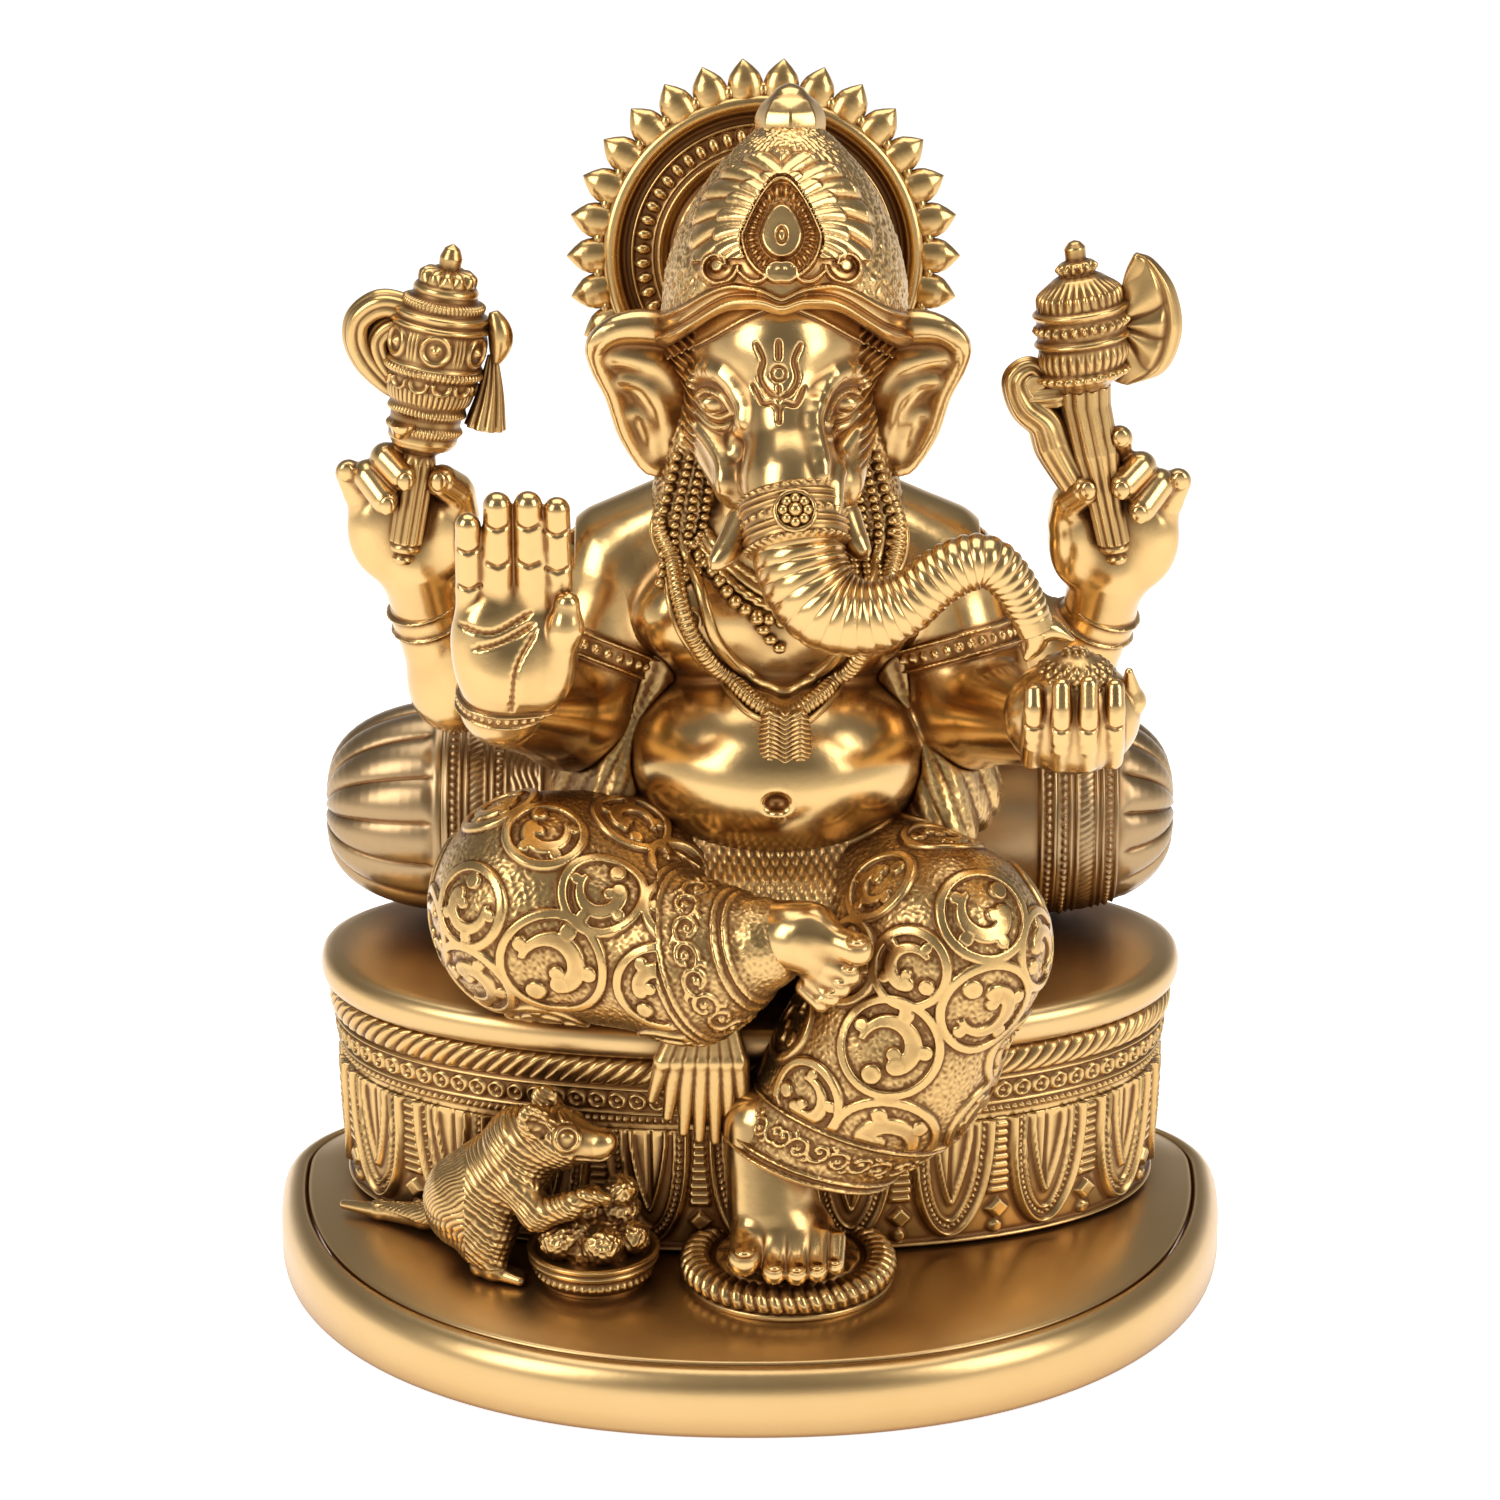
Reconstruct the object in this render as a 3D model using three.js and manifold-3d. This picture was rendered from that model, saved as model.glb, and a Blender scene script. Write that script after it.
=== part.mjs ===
// Brass Ganesha idol on a throne: the separate castings, bolts and ornaments that are joined to make it.
// Millimetres, +Z up, origin at the centre of the footprint on the surface it stands on. The idol faces -Y.
// "right" and "left" are the figure's own: its right hand is on the -X side.
import * as THREE from "three";
import { mergeVertices } from "three/addons/utils/BufferGeometryUtils.js";
import Module from "manifold-3d";

const wasm = await Module();
wasm.setup();

// ---------------------------------------------------------------- driving dimensions

const GAP = 0.3; // clearance that each casting keeps to its neighbours
const FIGURE_X = 5.5; // the figure sits a little to its left of the base's centre

const BASE = { halfWidth: 104, front: 105, back: 45, midY: 30, round: 2.2, height: 14.4, wall: 8.5, lip: 4 };
const DECK = { crown: 3, thick: 3.6 };
const THRONE = { halfWidth: 92, front: 51, back: 41, midY: 24, round: 2.2, height: 45.5, wall: 4, taper: 3 };
const SLAB = { thick: 7.5, overhang: 1.5, dome: 0.6 };
const BOLSTER = { radius: 24, y: 40, bodyHalf: 66, capLength: 26.5 };
const HALO = { x: 2.8, y: 29.5, z: 222.5, lean: 9, rim: 34, tip: 41.6, petals: 30, thick: 2.8 };
const BOLT = { shank: 3, head: 5.5, headHeight: 3.6 };
const FOOT_CUSHION = { x: 8, y: -33, radius: 23.5, height: 7 };

const deckTop = BASE.height + DECK.crown;
const throneBottom = deckTop + GAP;
const throneTop = throneBottom + THRONE.height;
const slabBottom = throneTop + GAP;
const slabTop = slabBottom + SLAB.thick;
const bolsterZ = slabTop + SLAB.dome + GAP + BOLSTER.radius;
const boltX = THRONE.halfWidth - 15; // the two bolts that hold the throne to the deck

// ---------------------------------------------------------------- solids from geometries

/** A closed geometry as a manifold solid, with its faces turned outwards. */
function solid(geometry) {
  const g = geometry.clone();
  g.deleteAttribute("normal");
  g.deleteAttribute("uv");
  const merged = mergeVertices(g, 1e-4);
  const index = merged.index.array;
  const kept = [];
  for (let i = 0; i < index.length; i += 3) {
    const [a, b, c] = [index[i], index[i + 1], index[i + 2]];
    if (a !== b && b !== c && c !== a) kept.push(a, b, c);
  }
  const make = (tris) =>
    new wasm.Manifold(
      new wasm.Mesh({
        numProp: 3,
        vertProperties: merged.attributes.position.array,
        triVerts: new Uint32Array(tris),
      }),
    );
  const made = make(kept);
  return made.volume() > 0 ? made : make(kept.reverse());
}

const join = (...solids) => solids.reduce((a, b) => a.add(b));
const cut = (from, ...tools) => tools.reduce((a, b) => a.subtract(b), from);
const vec = (p) => new THREE.Vector3(...p);

/** Turns geometry built along +Y so that it runs from a towards b, starting at a. */
function alongAxis(geometry, a, b) {
  const turn = new THREE.Quaternion().setFromUnitVectors(
    new THREE.Vector3(0, 1, 0),
    vec(b).sub(vec(a)).normalize(),
  );
  return geometry.applyQuaternion(turn).translate(...a);
}

/** An ellipsoid; turn is its Euler rotation in degrees. */
function ball(centre, radii, grow = 0, turn = [0, 0, 0], sides = 12) {
  const g = new THREE.SphereGeometry(1, sides, Math.round(sides * 0.67));
  g.rotateX(Math.PI / 2).scale(...radii.map((r) => r + grow));
  g.applyQuaternion(
    new THREE.Quaternion().setFromEuler(new THREE.Euler(...turn.map(THREE.MathUtils.degToRad))),
  );
  return solid(g.translate(...centre));
}

/** A tapered rod with round ends from a to b. */
function limb(a, b, ra, rb, grow = 0, sides = 10, capRings = 2) {
  const length = vec(b).distanceTo(vec(a));
  const profile = [];
  for (let i = 0; i <= capRings; i++) {
    const t = (i / capRings - 1) * (Math.PI / 2);
    profile.push(new THREE.Vector2((ra + grow) * Math.cos(t), (ra + grow) * Math.sin(t)));
  }
  for (let i = 0; i <= capRings; i++) {
    const t = (i / capRings) * (Math.PI / 2);
    profile.push(new THREE.Vector2((rb + grow) * Math.cos(t), length + (rb + grow) * Math.sin(t)));
  }
  profile[0].x = 0;
  profile.at(-1).x = 0;
  return solid(alongAxis(new THREE.LatheGeometry(profile, sides), a, b));
}

/** A round bar of changing radius along a smooth curve. */
function tube(points, radii, grow = 0, sides = 8, steps = 6) {
  const curve = new THREE.CatmullRomCurve3(points.map(vec), false, "centripetal");
  const frames = curve.computeFrenetFrames(steps);
  const g = new THREE.CylinderGeometry(1, 1, 1, sides, steps);
  const p = g.attributes.position;
  for (let i = 0; i < p.count; i++) {
    const t = p.getY(i) + 0.5;
    const k = Math.round(t * steps);
    const at = t * (radii.length - 1);
    const j = Math.min(Math.floor(at), radii.length - 2);
    const r = THREE.MathUtils.lerp(radii[j], radii[j + 1], at - j) + grow;
    const q = curve
      .getPointAt(t)
      .addScaledVector(frames.normals[k], r * p.getX(i))
      .addScaledVector(frames.binormals[k], r * p.getZ(i));
    p.setXYZ(i, q.x, q.y, q.z);
  }
  return solid(g);
}

/** A turned shape about the line from a towards b; profile holds [radius, height along the line]. */
function turned(a, b, profile, grow = 0, sides = 20) {
  const low = profile[0][1];
  const high = profile.at(-1)[1];
  const points = profile.map(([r, h]) => {
    const end = h === low ? -grow : h === high ? grow : 0;
    return new THREE.Vector2(r > 0 ? r + grow : 0, h + end);
  });
  return solid(alongAxis(new THREE.LatheGeometry(points, sides), a, b));
}

/** A flat plate cut to an outline in X and Z, from y0 to y1. */
function plate(outline, y0, y1, grow = 0) {
  const g = new THREE.ExtrudeGeometry(new THREE.Shape(outline), {
    depth: y1 - y0 + 2 * grow,
    bevelEnabled: false,
    curveSegments: 8,
  });
  return solid(g.rotateX(Math.PI / 2).translate(0, y1 + grow, 0));
}

/** Distance from an oval's centre to its edge in direction t; its front and back halves differ in depth. */
function ovalRadius(oval, t) {
  const depth = Math.sin(t) < 0 ? oval.front : oval.back;
  const c = Math.abs(Math.cos(t) / oval.halfWidth) ** oval.round;
  const s = Math.abs(Math.sin(t) / depth) ** oval.round;
  return (c + s) ** (-1 / oval.round);
}

/** A closed profile of [inset from the edge, height] carried round the oval; inset null is its centre. */
function ovalRing(oval, profile, sides = 36) {
  const outside = 500;
  const points = profile.map(([inset, z]) => new THREE.Vector2(inset === null ? 0 : outside - inset, z));
  const g = new THREE.LatheGeometry(points, sides).rotateX(Math.PI / 2);
  const p = g.attributes.position;
  for (let i = 0; i < p.count; i++) {
    const t = Math.atan2(p.getY(i), p.getX(i));
    const r = Math.hypot(p.getX(i), p.getY(i));
    const edge = r < 1 ? 0 : ovalRadius(oval, t) - (outside - r);
    p.setXY(i, edge * Math.cos(t), oval.midY + edge * Math.sin(t));
  }
  return solid(g);
}

/** A big block above the plane through point with that normal, for trimming. */
function above(point, normal, size = 200) {
  const g = new THREE.BoxGeometry(size, size, size).translate(0, size / 2, 0);
  return solid(alongAxis(g, point, vec(point).add(vec(normal)).toArray()));
}

// ---------------------------------------------------------------- base, throne and bolster

// The deck plate drops into the skirt; the two meet along a sloping seam just inside the rounded lip.
const SEAM = { top: BASE.lip + 1.4, bottom: BASE.wall - 1.6, low: BASE.height - DECK.thick };

const baseSkirt = (g) => {
  const { height, wall, lip } = BASE;
  return ovalRing(BASE, [
    [0 - g, 0],
    [0 - g, height * 0.58],
    [lip * 0.35 - g, height * 0.88],
    [lip - g, height],
    [SEAM.top + g, height],
    [SEAM.bottom + g, SEAM.low],
    [wall + g, SEAM.low - 3],
    [wall + g, 0],
    [0 - g, 0],
  ]);
};

const deckPlate = (g) => {
  const inset = GAP * 1.4 - g;
  return ovalRing(BASE, [
    [null, deckTop - DECK.thick - g],
    [26, deckTop - DECK.thick - g],
    [SEAM.bottom + inset, SEAM.low - g],
    [SEAM.top + inset, BASE.height + g],
    [26, deckTop + g],
    [null, deckTop + g],
  ]);
};

const throneDrum = (g) => {
  const { wall, taper } = THRONE;
  const bottom = throneBottom - g;
  const top = throneTop + g;
  const shell = ovalRing(THRONE, [
    [taper - g, bottom],
    [taper * 0.5 - g, throneBottom + THRONE.height * 0.55],
    [0.5 - g, throneTop - 8],
    [0 - g, throneTop - 3],
    [0 - g, top],
    [wall + g, top],
    [taper + wall + g, bottom],
    [taper - g, bottom],
  ]);
  const boss = [[0, 0], [7 + g, 0], [7 + g, 22], [0, 22]];
  const bosses = [-boltX, boltX].map((x) =>
    turned([x, THRONE.midY, bottom], [x, THRONE.midY, 99], boss, 0, 12),
  );
  return join(shell, ...bosses);
};

const seatSlab = (g) => {
  const { overhang, thick, dome } = SLAB;
  return ovalRing(THRONE, [
    [null, slabBottom - g],
    [-overhang + 1.5 - g, slabBottom - g],
    [-overhang - g, slabBottom + thick * 0.35],
    [-overhang - g, slabBottom + thick * 0.6],
    [-overhang + 2 - g, slabTop - 0.7 + g],
    [6, slabTop + g],
    [null, slabTop + dome + g],
  ]);
};

const bolsterBody = (g) => {
  const half = BOLSTER.bodyHalf;
  const r = BOLSTER.radius;
  const axis = (x) => [x, BOLSTER.y, bolsterZ];
  return turned(axis(-half), axis(half), [[0, 0], [r, 0], [r, 2 * half], [0, 2 * half]], g, 24);
};

const bolsterCap = (side) => (g) => {
  const r = BOLSTER.radius;
  const length = BOLSTER.capLength;
  const start = [side * (BOLSTER.bodyHalf + GAP), BOLSTER.y, bolsterZ];
  const end = [side * 200, BOLSTER.y, bolsterZ];
  return turned(start, end, [
    [0, 0],
    [r, 0],
    [r * 0.97, length * 0.28],
    [r * 0.85, length * 0.58],
    [r * 0.6, length * 0.84],
    [r * 0.25, length * 0.97],
    [0, length],
  ], g, 24);
};

const footCushion = (g) => {
  const { x, y, radius, height } = FOOT_CUSHION;
  return turned([x, y, deckTop - 2.2], [x, y, 99], [
    [0, 0],
    [radius - 2, 0],
    [radius, height * 0.45],
    [radius - 1.5, height],
    [0, height + 1],
  ], g, 24);
};

/** A hexagon-headed bolt: its head starts at point, and its shank runs from there towards the target. */
const bolt = (point, target, length) => (g) => {
  const head = new THREE.CylinderGeometry(BOLT.head + g, BOLT.head + g, BOLT.headHeight + 2 * g, 6);
  const shank = new THREE.CylinderGeometry(BOLT.shank + g, BOLT.shank + g, length + g, 12);
  return join(
    solid(alongAxis(head.translate(0, BOLT.headHeight / 2, 0), point, target)),
    solid(alongAxis(shank.translate(0, BOLT.headHeight + (length + g) / 2 - 0.01, 0), point, target)),
  );
};

// ---------------------------------------------------------------- head, trunk, ears and crown

const headShape = (g) =>
  join(
    ball([FIGURE_X, -2, 203], [19.5, 24, 22], g, [0, 0, 0], 14),
    ball([6, -4, 215], [18.5, 20.5, 14], g, [0, 0, 0], 12),
    limb([6.5, -10, 213], [7.5, -23, 201], 13, 9.8, g, 10),
    limb([7.5, -23, 201], [8, -31, 192], 9.8, 10, g, 10),
    limb([-6, -8, 194], [-1, -22, 188], 9, 7, g, 8, 1),
    limb([18, -8, 194], [17, -22, 188], 9, 7, g, 8, 1),
    limb([FIGURE_X, 6, 192], [FIGURE_X, 8, 176], 15, 15, g, 10, 1),
  );

const trunkPath = [
  [8, -31, 193], [9, -36, 185.4], [10, -40, 178.2], [12.3, -43, 172.9], [16.9, -45, 169], [23.5, -46, 168.2],
  [30.8, -46, 171], [36.8, -46, 176], [42.1, -46, 179.1], [47.3, -46, 179.6], [51.7, -46, 176],
  [54.8, -46, 170.8], [56.9, -46, 164.5],
];
const trunkRadii = [9.6, 9.4, 9.2, 9.2, 8.9, 7.7, 6.7, 5.9, 5.7, 5.6, 4.6, 4.0, 3.8];

const trunkShape = (g) =>
  join(
    tube(trunkPath, trunkRadii, g, 8, 18),
    limb([56.9, -46, 165], [64.5, -47, 163.2], 3, 1.4, g, 5, 1),
    limb([56.5, -46, 165], [55, -46.5, 159.8], 3, 1.5, g, 5, 1),
  );

const trunkBand = (g) => {
  const a = [7.6, -31.2, 192.6];
  const b = [9.1, -37.2, 183.6];
  const axis = vec(b).sub(vec(a)).normalize();
  const length = vec(b).distanceTo(vec(a));
  const profile = [[0, 0], [10.8, 0], [11.2, length * 0.5], [10.8, length], [0, length]];
  return turned(a, vec(a).add(axis).toArray(), profile, g, 20);
};

/** One ear: a broad flap that stands out from the side of the head and narrows to a lobe at the bottom. */
const EAR = { root: 11, reach: 38.6, top: 217, shoulder: 203, lobe: 183, lobeOut: 26, y: 3, thick: 5 };

const earShape = (side) => (g) => {
  const at = (out, z) => new THREE.Vector2(FIGURE_X + side * out, z);
  const outline = new THREE.SplineCurve([
    at(EAR.root - g, EAR.top - 4),
    at(EAR.reach * 0.6, EAR.top + g),
    at(EAR.reach + g, EAR.top - 4),
    at(EAR.reach - 3.6 + g, EAR.shoulder),
    at(EAR.lobeOut + 4 + g, EAR.lobe + 9),
    at(EAR.lobeOut, EAR.lobe - g),
    at(EAR.lobeOut - 6 - g, EAR.lobe + 6),
    at(EAR.root - g, EAR.shoulder - 9),
  ]);
  return plate(outline.getPoints(16), EAR.y - EAR.thick, EAR.y, g);
};

const tusk = (root, tip) => (g) => limb(root, tip, 3.1, 0.9, g, 8);

const crownShape = (g) => {
  const cone = join(
    limb([7, -2, 217], [8, 4, 236], 25.2, 19, g, 14),
    limb([8, 4, 236], [8.2, 8, 246], 19, 9.6, g, 14),
  );
  return cut(cone, above([7, -28, 226 - g], [0, -0.45, -0.9]));
};

const crownFinial = (g) =>
  turned([8.2, 9, 248.5], [8.2, 12, 265], [
    [0, 0],
    [9.4, 0],
    [9.8, 2.4],
    [7.2, 4.4],
    [7.4, 6.2],
    [6.4, 9.6],
    [3.6, 13.4],
    [0, 15.2],
  ], g, 14);

// ---------------------------------------------------------------- halo

/** The halo leans back about the line where its bracket holds it. */
const haloPlate = (g) => {
  const { x, y, z, lean, rim, tip, petals, thick } = HALO;
  const outline = [];
  for (let i = 0; i < petals; i++) {
    const at = (share, r) => {
      const t = ((i + share) / petals) * 2 * Math.PI;
      return new THREE.Vector2(x + (r + g) * Math.sin(t), (r + g) * Math.cos(t));
    };
    outline.push(at(0, tip), at(0.28, rim + 4.5), at(0.5, rim), at(0.72, rim + 4.5));
  }
  return plate(outline, 0, thick, g).rotate([-lean, 0, 0]).translate([0, y, z]);
};

const haloBracket = (g) =>
  turned([6, 14, 222], [6, 40, 222], [[0, 0], [6, 0], [6, HALO.y - 14 - GAP], [0, HALO.y - 14 - GAP]], g, 12);

// ---------------------------------------------------------------- torso and legs

const torsoShape = (g) =>
  join(
    ball([FIGURE_X, 0, 123], [31.5, 28, 22], g, [0, 0, 0], 16),
    ball([FIGURE_X, 5, 149], [27, 18, 22], g, [0, 0, 0], 12),
    limb([-24, 10, 159], [35, 10, 160], 13, 13, g, 8),
    ball([-10.5, -5, 154], [12, 9, 11], g, [0, 0, 0], 8),
    ball([21.5, -5, 154], [12, 9, 11], g, [0, 0, 0], 8),
    ...[-1, 1].flatMap((side) => {
      const at = (out, y, z) => [FIGURE_X + side * out, y, z];
      return [
        limb(at(17, 8, 171), at(33, 9, 162), 10, 11, g, 8, 1),
        limb(at(34, 13, 150), at(38, 13, 118), 9, 9, g, 8, 1),
      ];
    }),
  );

const waistWrap = (g) =>
  join(
    ball([FIGURE_X, 3, 99], [37, 26, 26], g, [0, 0, 0], 12),
    ball([4, -20, 94], [22, 14, 13], g, [0, 0, 0], 8),
  );

const rightLeg = (g) =>
  join(
    limb([-10, 0, 93], [-43, -19, 96], 21, 23, g, 12),
    limb([-42, -21, 94], [-10, -38, 90], 21, 15.5, g, 10),
    limb([-10, -38, 91], [3, -44, 97], 15, 9.6, g, 10, 1),
  );

const leftLeg = (g) =>
  cut(
    join(
      limb([22, 0, 93], [41, -31, 92], 20, 19.5, g, 12),
      limb([40, -31, 90], [28, -30, 66], 19.5, 20.5, g, 12),
      limb([29, -30, 68], [9.5, -31, 45], 20.5, 16.5, g, 10, 1),
    ),
    above([11, -46, 44.5 - g], [-0.33, -0.05, -1]),
  );

const hangingSash = (g) =>
  join(
    limb([-7, -31, 72], [-8, -31, 52], 4, 5, g, 8),
    limb([-14, -30, 70], [-16, -30, 58], 3.4, 4.2, g, 8),
  );

const rightFoot = (g) =>
  join(
    limb([0, -42, 97], [14, -50, 100], 7.4, 6, g, 10),
    ...[0, 1, 2, 3, 4].map((i) => {
      const root = [15 + i * 0.4, -51 + i * 0.6, 102 - i * 2.6];
      const tip = [22.5 - i * 1.6, -52.5 + i * 0.6, 100 - i * 2.8];
      return limb(root, tip, 2.8 - i * 0.25, 2.7 - i * 0.3, g, 5, 1);
    }),
  );

const leftFoot = (g) =>
  join(
    limb([3.6, -33, 50], [5, -40, 34], 9, 9.4, g, 8, 1),
    ball([7.4, -43, 31], [10.5, 9, 6], g, [35, 0, 0], 8),
    ...[0, 1, 2, 3, 4].map((i) => {
      const x = -0.6 + i * 4.3;
      const forward = [0, 2.6, 2.8, 1.6, -0.6][i];
      return limb([x + 0.6, -46, 30], [x, -51.5 - forward, 27.4], i ? 2.4 : 3.6, i ? 1.9 : 3.1, g, 5, 1);
    }),
  );

// ---------------------------------------------------------------- arms and hands

const arm = (shoulder, elbow, wrist, radii) => (g) =>
  join(limb(shoulder, elbow, radii[0], radii[1], g, 10), limb(elbow, wrist, radii[1], radii[2], g, 10, 1));

const frontRightArm = arm([-28, 8, 157], [-38, 0, 133], [-49, -32, 145], [13, 12, 8.4]);
const frontLeftArm = arm([40, 8, 157], [47, 0, 133], [60, -31, 140], [13, 12, 8.4]);
const rearRightArm = arm([-30, 14, 156], [-62.6, 20, 131], [-68.6, 14, 151], [12, 8.8, 7.2]);
const rearLeftArm = arm([42, 14, 156], [64, 20, 130], [74.2, 14, 150], [12, 8.8, 7.2]);

/** A finger from its root through its middle joint to its tip. */
const finger = (points, r, g) => tube(points, [r, r, r * 0.95, r * 0.55], g, 5, 3);

/** The raised right palm, turned towards the front with its fingers up. */
const frontRightHand = (g) => {
  const columns = [[-55.6, 189.4, 2.5], [-49.9, 194.2, 2.9], [-44.2, 194.4, 2.9], [-38.8, 192.9, 2.6]];
  return join(
    limb([-50, -37, 149], [-48, -42, 160], 8, 8.4, g, 8, 1),
    ball([-47.4, -42.5, 163.5], [11.4, 5, 13.5], g, [0, 0, 0], 10),
    ...columns.map(([x, top, r]) => finger([[x, -43, 168], [x, -44.4, 181], [x, -46, top]], r, g)),
    finger([[-41, -45, 160], [-38.6, -47.5, 167], [-38.2, -48, 174]], 3.4, g),
  );
};

/** The left hand, closed round the sweet, with its four fingers up the front. */
const frontLeftHand = (g) => {
  const columns = [[56.4, 156.4], [62, 158], [67.3, 158.8], [73.1, 157]];
  return join(
    limb([59, -30, 140], [62, -38, 142], 8, 8.6, g, 8, 1),
    ball([64.8, -43, 147], [12.4, 10.6, 10], g, [0, 0, 0], 12),
    ...columns.map(([x, top]) => finger([[x, -49, 140], [x, -53.6, 148], [x, -51.6, top]], 2.2, g)),
    finger([[74, -40, 144], [77.4, -44, 150], [76.4, -46, 156]], 2.2, g),
  );
};

/** A rear palm that grips an upright handle; side is -1 on the figure's right. */
const rearHand = (side, wrist, centre) => (g) => {
  const at = (dx, dy, dz) => [centre[0] + side * dx, centre[1] + dy, centre[2] + dz];
  return join(
    limb(wrist, at(-1, 1, -8), 7.4, 8, g, 8, 1),
    ball(centre, [12, 5.4, 12], g, [0, 0, 0], 10),
    finger([at(9, 0, 3), at(11.4, -2, 9), at(13.6, -3, 13.6)], 2.8, g),
    finger([at(7, -1, 8), at(9.4, -5.4, 12.6), at(5.2, -9.4, 8.6)], 2.7, g),
    finger([at(3.4, 0, 11), at(5.8, -5.6, 16.6), at(1.4, -9.6, 13.6)], 2.7, g),
    finger([at(0, 0, 12), at(1, -4, 18.6), at(1.6, -5, 24)], 2.6, g),
    finger([at(-9.6, -1, 1), at(-9.6, -5, 9), at(-5.4, -8.4, 12.8)], 3.2, g),
  );
};

const rearRightPalm = [-69.4, 10, 168.6];
const rearLeftPalm = [75.8, 10, 167.5];

// ---------------------------------------------------------------- attributes

const goadFoot = [-72.4, 1.5, 164];
const goadTop = [-60.6, 6.5, 231.6];

const goadHook = [[-66, 6, 214], [-76, 7, 221], [-84, 7, 215], [-82, 7, 205], [-75.5, 6, 200]];

const goadShape = (g) =>
  join(
    turned(goadFoot, goadTop, [
      [0, 0], [3.2, 0.6], [3, 24], [6, 29], [9, 36], [10.6, 46], [10.4, 56], [7.4, 60], [5, 64],
      [2.2, 66], [0, 68.6],
    ], g, 10),
    tube(goadHook, [2.6, 3, 2.6, 1.6], g, 6, 9),
    limb([-53, 5, 214], [-51.5, 5, 199], 2.2, 3.2, g, 6, 1),
  );

const axeFoot = [78.6, 1.5, 164];
const axeTop = [66.8, 6.5, 232.4];

const AXE_BLADE = { x: 70.7, z: 213, radius: 17.5, backX: 64, backRadius: 14.5, thick: 4 };

const axeShape = (g) => {
  const { x, z, radius, backX, backRadius, thick } = AXE_BLADE;
  const crescent = new THREE.Shape();
  crescent.absarc(x, z, radius + g, -1, 1, false);
  crescent.absarc(backX, z, backRadius - g, 0.8, -0.8, true);
  return join(
    turned(axeFoot, axeTop, [
      [0, 0], [3.4, 0.6], [3, 12], [4.4, 24], [4.6, 37], [9.4, 39], [10, 52], [9, 58], [5, 63],
      [2, 67], [0, 69.2],
    ], g, 10),
    plate(crescent.getPoints(5), 4, 4 + thick, g),
    tube([[66, 6, 203], [58, 6, 205], [55.2, 6, 200], [61, 6, 192]], [3, 2.8, 2.4], g, 6, 5),
  );
};

const modak = (g) => ball([65, -43, 151.3], [9.2, 8.8, 8.8], g, [0, 0, 0], 12);

// ---------------------------------------------------------------- mouse and its bowl

const bowlCentre = [-33, -33, deckTop - 2.4];

/** The bowl is cast full: its floor stands just below the rim, and the sweets are sunk in it. */
const sweetBowl = (g) =>
  turned(bowlCentre, [bowlCentre[0], bowlCentre[1], 99], [
    [0, 0], [10.5, 0], [12.4, 3], [14.4, 9], [14.4, 10], [12.8, 10], [12, 8.6], [0, 8.5],
  ], g, 18);

const sweets = (g) => {
  const heap = [
    [0, 0, 11, 8.4], [-7, -4, 12.4, 4.4], [2, -6.6, 12.8, 4.6], [8.2, -2, 12.6, 4], [-2, 2, 16, 4.6],
    [5.6, 2.4, 17, 4.6], [5.8, 1, 22, 3.8],
  ];
  const [bowlX, bowlY, bowlZ] = bowlCentre;
  return join(
    ...heap.map(([x, y, z, r]) => ball([bowlX + x, bowlY + y, bowlZ + z], [r, r, r], g, [0, 0, 0], 8)),
  );
};

const mouseShape = (g) =>
  join(
    limb([-58, -25, 31], [-49, -28, 42], 11, 8.6, g, 10),
    limb([-45, -30, 48], [-29.8, -36, 49.4], 7.6, 4.4, g, 8),
    ball([-43.4, -37, 53.6], [2.6, 1.6, 4], g, [0, 0, 0], 6),
    ball([-41, -29, 56.6], [2.6, 1.6, 3.6], g, [0, 0, 0], 6),
    tube([[-49, -34, 39], [-44, -38, 33.6], [-34, -40, 38.4]], [3.6, 2.6, 2], g, 6, 4),
    limb([-56, -33, 28], [-53, -35, 20.5], 5, 3, g, 6, 1),
    limb([-57, -34, 19.4], [-49.5, -36, 18.8], 2.2, 1.6, g, 6, 1),
    tube([[-62, -18, 24], [-70, -12, 20], [-80, -5, 18.6], [-88.5, 0, 18]], [3.4, 2.4, 1.8, 1.2], g, 6, 5),
  );

// ---------------------------------------------------------------- assembly

const BRASS = { color: 0xc8963e, roughness: 0.28, metalness: 1 };
const DARK_BRASS = { color: 0x9c7030, roughness: 0.38, metalness: 1 };
const STEEL = { color: 0x8c8c8c, roughness: 0.45, metalness: 1 };

const deckUnderside = deckTop - DECK.thick;
const boltHead = deckUnderside - BOLT.headHeight - 2 * GAP;
const slabBoltHead = slabBottom - BOLT.headHeight - 2 * GAP;
const haloScrewHead = HALO.y + HALO.thick + BOLT.headHeight + 3 * GAP;

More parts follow.
